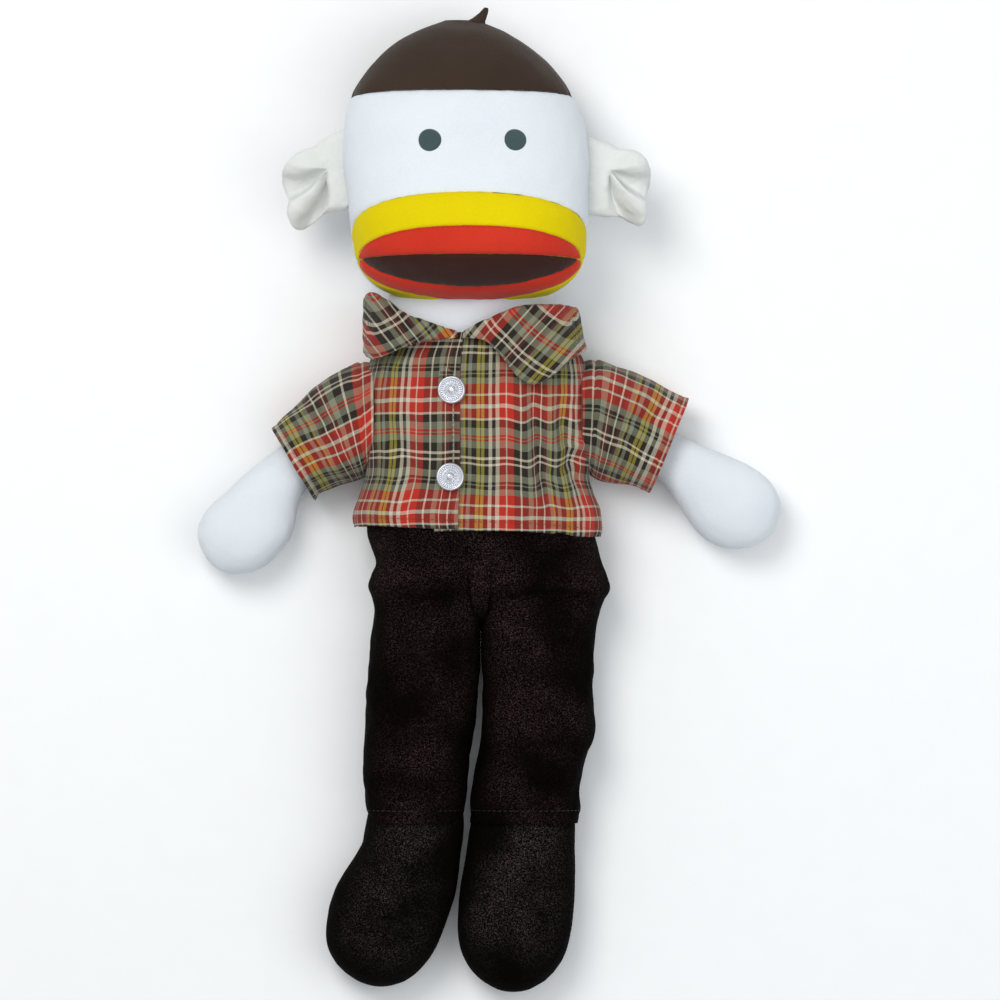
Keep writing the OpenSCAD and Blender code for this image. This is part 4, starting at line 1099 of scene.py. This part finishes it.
def trouser(side):
    name = SIDE[side]
    # place along the leg, inner x, outer x, bottom, top, how square the inner side is
    if side < 0:
        table = [(-34, 0.9, -60.0, 2.0, 61.5, 9), (-44, 0.9, -60.0, 1.6, 61.5, 9),
                 (-53, 0.9, -57.5, 1.4, 59.5, 8), (-61, 0.9, -55.2, 1.0, 56.5, 7),
                 (-68, 0.9, -58.3, 0.8, 54.5, 6), (-74, 0.9, -59.8, 0.6, 52.5, 5),
                 (-80, 0.8, -58.3, 0.5, 48.5, 4), (-88, 0.6, -57.0, 0.4, 47.5, 3.2),
                 (-104, 0.7, -58.4, 0.4, 47.5, 3.0), (-124, 0.6, -59.8, 0.4, 47.0, 2.6),
                 (-145, -2.0, -61.2, 0.4, 46.5, 2.3), (-168, -5.0, -61.8, 0.4, 45.5, 2.3),
                 (-190, -7.5, -61.2, 0.5, 44.5, 2.3), (-202, -8.6, -59.6, 0.6, 43.5, 2.3)]
    else:
        table = [(-34, 1.5, 60.5, 2.0, 61.5, 9), (-44, 1.5, 61.8, 1.6, 61.5, 9),
                 (-53, 1.5, 64.0, 1.4, 59.5, 8), (-61, 1.5, 66.0, 1.0, 57.0, 7),
                 (-68, 1.5, 69.2, 0.8, 55.5, 6), (-75, 1.6, 71.0, 0.6, 53.0, 5),
                 (-81, 1.8, 67.8, 0.5, 49.5, 4), (-88, 2.0, 65.6, 0.4, 48.5, 3.2),
                 (-104, 1.8, 63.2, 0.4, 48.0, 3.0), (-124, 2.0, 61.4, 0.4, 47.0, 2.6),
                 (-140, 1.6, 62.4, 0.4, 47.5, 2.3), (-154, 0.8, 62.6, 0.4, 47.0, 2.3),
                 (-167, -1.4, 58.0, 0.4, 45.5, 2.3), (-184, -3.2, 55.4, 0.4, 45.0, 2.3),
                 (-195, -4.2, 55.2, 0.5, 44.5, 2.3), (-202, -4.6, 53.4, 0.6, 43.5, 2.3)]
    knots = [(-k[0], (k[1], k[2], k[3], k[4], k[5])) for k in table]
    rows, cols = 190, 120
    y = -np.linspace(34, 202, rows)[:, None]
    s = curve(-y[:, 0], knots)
    phi = np.linspace(0, 2 * np.pi, cols, endpoint=False)[None, :]
    c, sn = np.cos(phi), np.sin(phi)
    power = np.where(c > 0, 2.35, s[:, 4:5])
    mid, half = (s[:, 0:1] + s[:, 1:2]) / 2, np.abs(s[:, 1:2] - s[:, 0:1]) / 2
    x = mid + side * half * boxed(c, power)
    z = (s[:, 2:3] + s[:, 3:4]) / 2 + (s[:, 3:4] - s[:, 2:3]) / 2 * boxed(sn, power)
    p = np.stack([x, y + 0 * x, z], -1)
    n, order = facing_out(p)
    off = 0.6 * lumps(p, 34, 101 + side) + 0.25 * lumps(p, 11, 103 + side)
    if side < 0:
        folds = [((-58, -80), (0, -82), 3.2, -3.0, -1.5), ((-56, -70), (-8, -70), 5.0, 1.2, 1),
                 ((-56, -92), (-10, -88), 4.0, 1.2, 0), ((-52, -112), (-14, -108), 5.0, -0.9, 2),
                 ((-58, -150), (-22, -158), 4.0, -1.0, 2), ((-56, -166), (-12, -162), 5.0, 0.8, 0),
                 ((-58, -180), (-20, -186), 3.5, -1.1, 1), ((-50, -192), (-12, -190), 3.0, 0.7, 0),
                 ((-48, -62), (-30, -82), 5.0, -0.9, 0)]
    else:
        folds = [((4, -84), (66, -79), 3.2, -3.0, 1.5), ((10, -70), (66, -70), 5.0, 1.3, -1),
                 ((12, -94), (60, -90), 4.0, 1.2, 0), ((8, -118), (56, -104), 4.5, -1.2, 3),
                 ((14, -132), (60, -146), 4.5, 1.4, 4), ((10, -146), (62, -128), 3.8, -1.9, -4),
                 ((16, -158), (60, -150), 4.2, 1.6, 4), ((8, -166), (58, -162), 3.2, -2.2, 4),
                 ((14, -176), (54, -172), 4.2, 1.3, 2), ((6, -186), (52, -182), 3.0, -1.3, 1),
                 ((30, -60), (40, -82), 5.0, -0.8, 0)]
    for f in folds:
        off = off + crease(p, *f) * (n[..., 2] > -0.2)
    off = off - 0.35 * np.exp(-((p[..., 1] + 197.5) / 1.2) ** 2)
    q = p + n * off[..., None]
    q[..., 2] = np.maximum(q[..., 2], 0.35)
    if side < 0:
        q[..., 0] = np.minimum(q[..., 0], SEAM_X - HALF_GAP)
    else:
        q[..., 0] = np.maximum(q[..., 0], np.where(q[..., 1] > -125, SEAM_X + HALF_GAP, -9))
    q = q[:, ::order]
    o = grid("trouser_" + name + "_cloth", q, BLACK, wrap=True, caps=(True, True))
    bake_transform(o)
    nodes = [part + name for part in ("trouser_seat_", "trouser_leg_", "leg_cover_", "leg_stuffing_")]
    dress(o, "black_twill", *nodes, fill=0.75)
    s = stitches("hem_stitches_leg_" + name, (p + n * 0.1)[int(rows * 0.955)], BLACK_THREAD, 2.2, 1.0, 0.16)
    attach(s, "leg_" + name)


for side in (LEFT, RIGHT):
    trouser(side)

# ---- Feet ----


def foot(side):
    name = SIDE[side]
    ax = 23.15 if side > 0 else -35.25
    ay = -213.5
    # distance past the ankle, sideways, half width, bottom, top
    if side < 0:
        table = [(-22, 1.4, 25.6, 1.6, 42.0), (-12, 0.9, 26.6, 1.6, 42.0), (0, -0.8, 28.4, 1.2, 42.0),
                 (12, -4.8, 30.8, 0.8, 42.5), (26, -9.8, 32.8, 0.5, 43.0), (40, -15.0, 33.0, 0.4, 43.0),
                 (52, -18.8, 31.2, 0.4, 41.5), (62, -21.6, 27.4, 0.8, 38.5), (70, -23.4, 21.4, 2.6, 34.0),
                 (75.5, -24.4, 13.4, 6.0, 29.0), (78.4, -24.4, 5.0, 11, 24.0)]
    else:
        table = [(-22, 1.6, 27.8, 1.6, 42.0), (-12, 1.2, 28.4, 1.6, 42.0), (0, 0.4, 29.8, 1.2, 42.0),
                 (12, -0.4, 31.4, 0.8, 42.5), (26, -1.9, 32.4, 0.5, 43.5), (42, -3.6, 32.6, 0.4, 43.5),
                 (54, -4.4, 31.0, 0.4, 42.0), (65, -5.0, 27.0, 0.8, 38.5), (73, -5.4, 20.8, 2.6, 34.0),
                 (78.5, -5.8, 13.2, 6.0, 29.0), (81.2, -6.0, 5.0, 11, 24.0)]
    splay = -15 if side < 0 else -3
    ks = [(d, (ax + x, ay - d, -90 + splay * np.clip(d / 40, 0, 1), half, low, top))
          for d, x, half, low, top in table]
    rows, cols = 90, 100
    t = np.linspace(0, 1, rows)
    u = -22 + (table[-1][0] + 22) * (0.5 * t + 0.5 * np.sin(np.pi / 2 * t))
    p = around(ks, u, cols)
    n, order = facing_out(p)
    off = 0.45 * lumps(p, 30, 111 + side) + 0.15 * lumps(p, 9, 113 + side)
    off = off - DRAWN_IN * np.clip((u[:, None] + 10) / 15, 0, 1)
    p = p + n * off[..., None]
    p[..., 2] = np.maximum(p[..., 2], 0.4)
    o = grid("foot_" + name + "_cloth", p[:, ::order], FOOT, wrap=True, caps=(True, True))
    puff(o, voxel=4.5)
    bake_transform(o)
    dress(o, "foot_cloth", "foot_upper_" + name, "foot_sole_" + name, "foot_stuffing_" + name, fill=0.9)


for side in (LEFT, RIGHT):
    foot(side)

# ---- Body under the shirt, and the seam down the middle of the trousers ----
BODY = [(-60.5, (0, -60.5, 90, 50, 10, 48)), (-52, (0, -52, 90, 55, 4.5, 57)),
        (-40, (0, -40, 90, 56.5, 3, 59.5)), (0, (0, 0, 90, 52, 3, 60)), (30, (0, 30, 90, 43, 4, 58)),
        (40, (0, 40, 90, 38, 8, 52))]
body = grid("body_fleece", around(BODY, np.linspace(-60.5, 40, 40), 72), WHITE, wrap=True, caps=(True, True))
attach(body, "torso")
dress(body, "white_fleece", "torso_front_panel", "torso_back_panel", "torso_stuffing", fill=0.9)
t = np.linspace(0, 1, 70)[:, None]
w = np.linspace(-1, 1, 13)[None, :]
y = -34 - 62 * t
top = curve(-y[:, 0], [(34, 61.2), (53, 59.0), (61, 56.0), (75, 51.8), (84, 45.5), (90, 36.0), (96, 24.0)])
half = 7.5 - 6.0 * t**2
height = top + 0.15 - 1.1 * w**2 - 0.4 * np.exp(-(w * half / 0.8) ** 2)
seam = np.stack([SEAM_X + half * w, y + 0 * w, height], -1)
centre = grid("trouser_centre_seam", seam, BLACK)
thicken(centre, 1.2)
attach(centre, "torso")

# ---- Floor ----
floor_mat = Nodes("floor_paper", roughness=0.9, specular=0.1)
grain = floor_mat.noise(60.0, 4.0)
floor_mat.bump((grain, 0.0002, 0.2))
floor_mat.colour(floor_mat.mix(grain, (0.93, 0.935, 0.94), (0.90, 0.905, 0.91)))
reach = np.linspace(-3000, 3000, 13)
fp = np.stack(np.meshgrid(reach, reach), -1)
fp = np.concatenate([fp, np.full(fp.shape[:2] + (1,), -0.05)], -1)
floor = grid("floor", fp, floor_mat.mat)
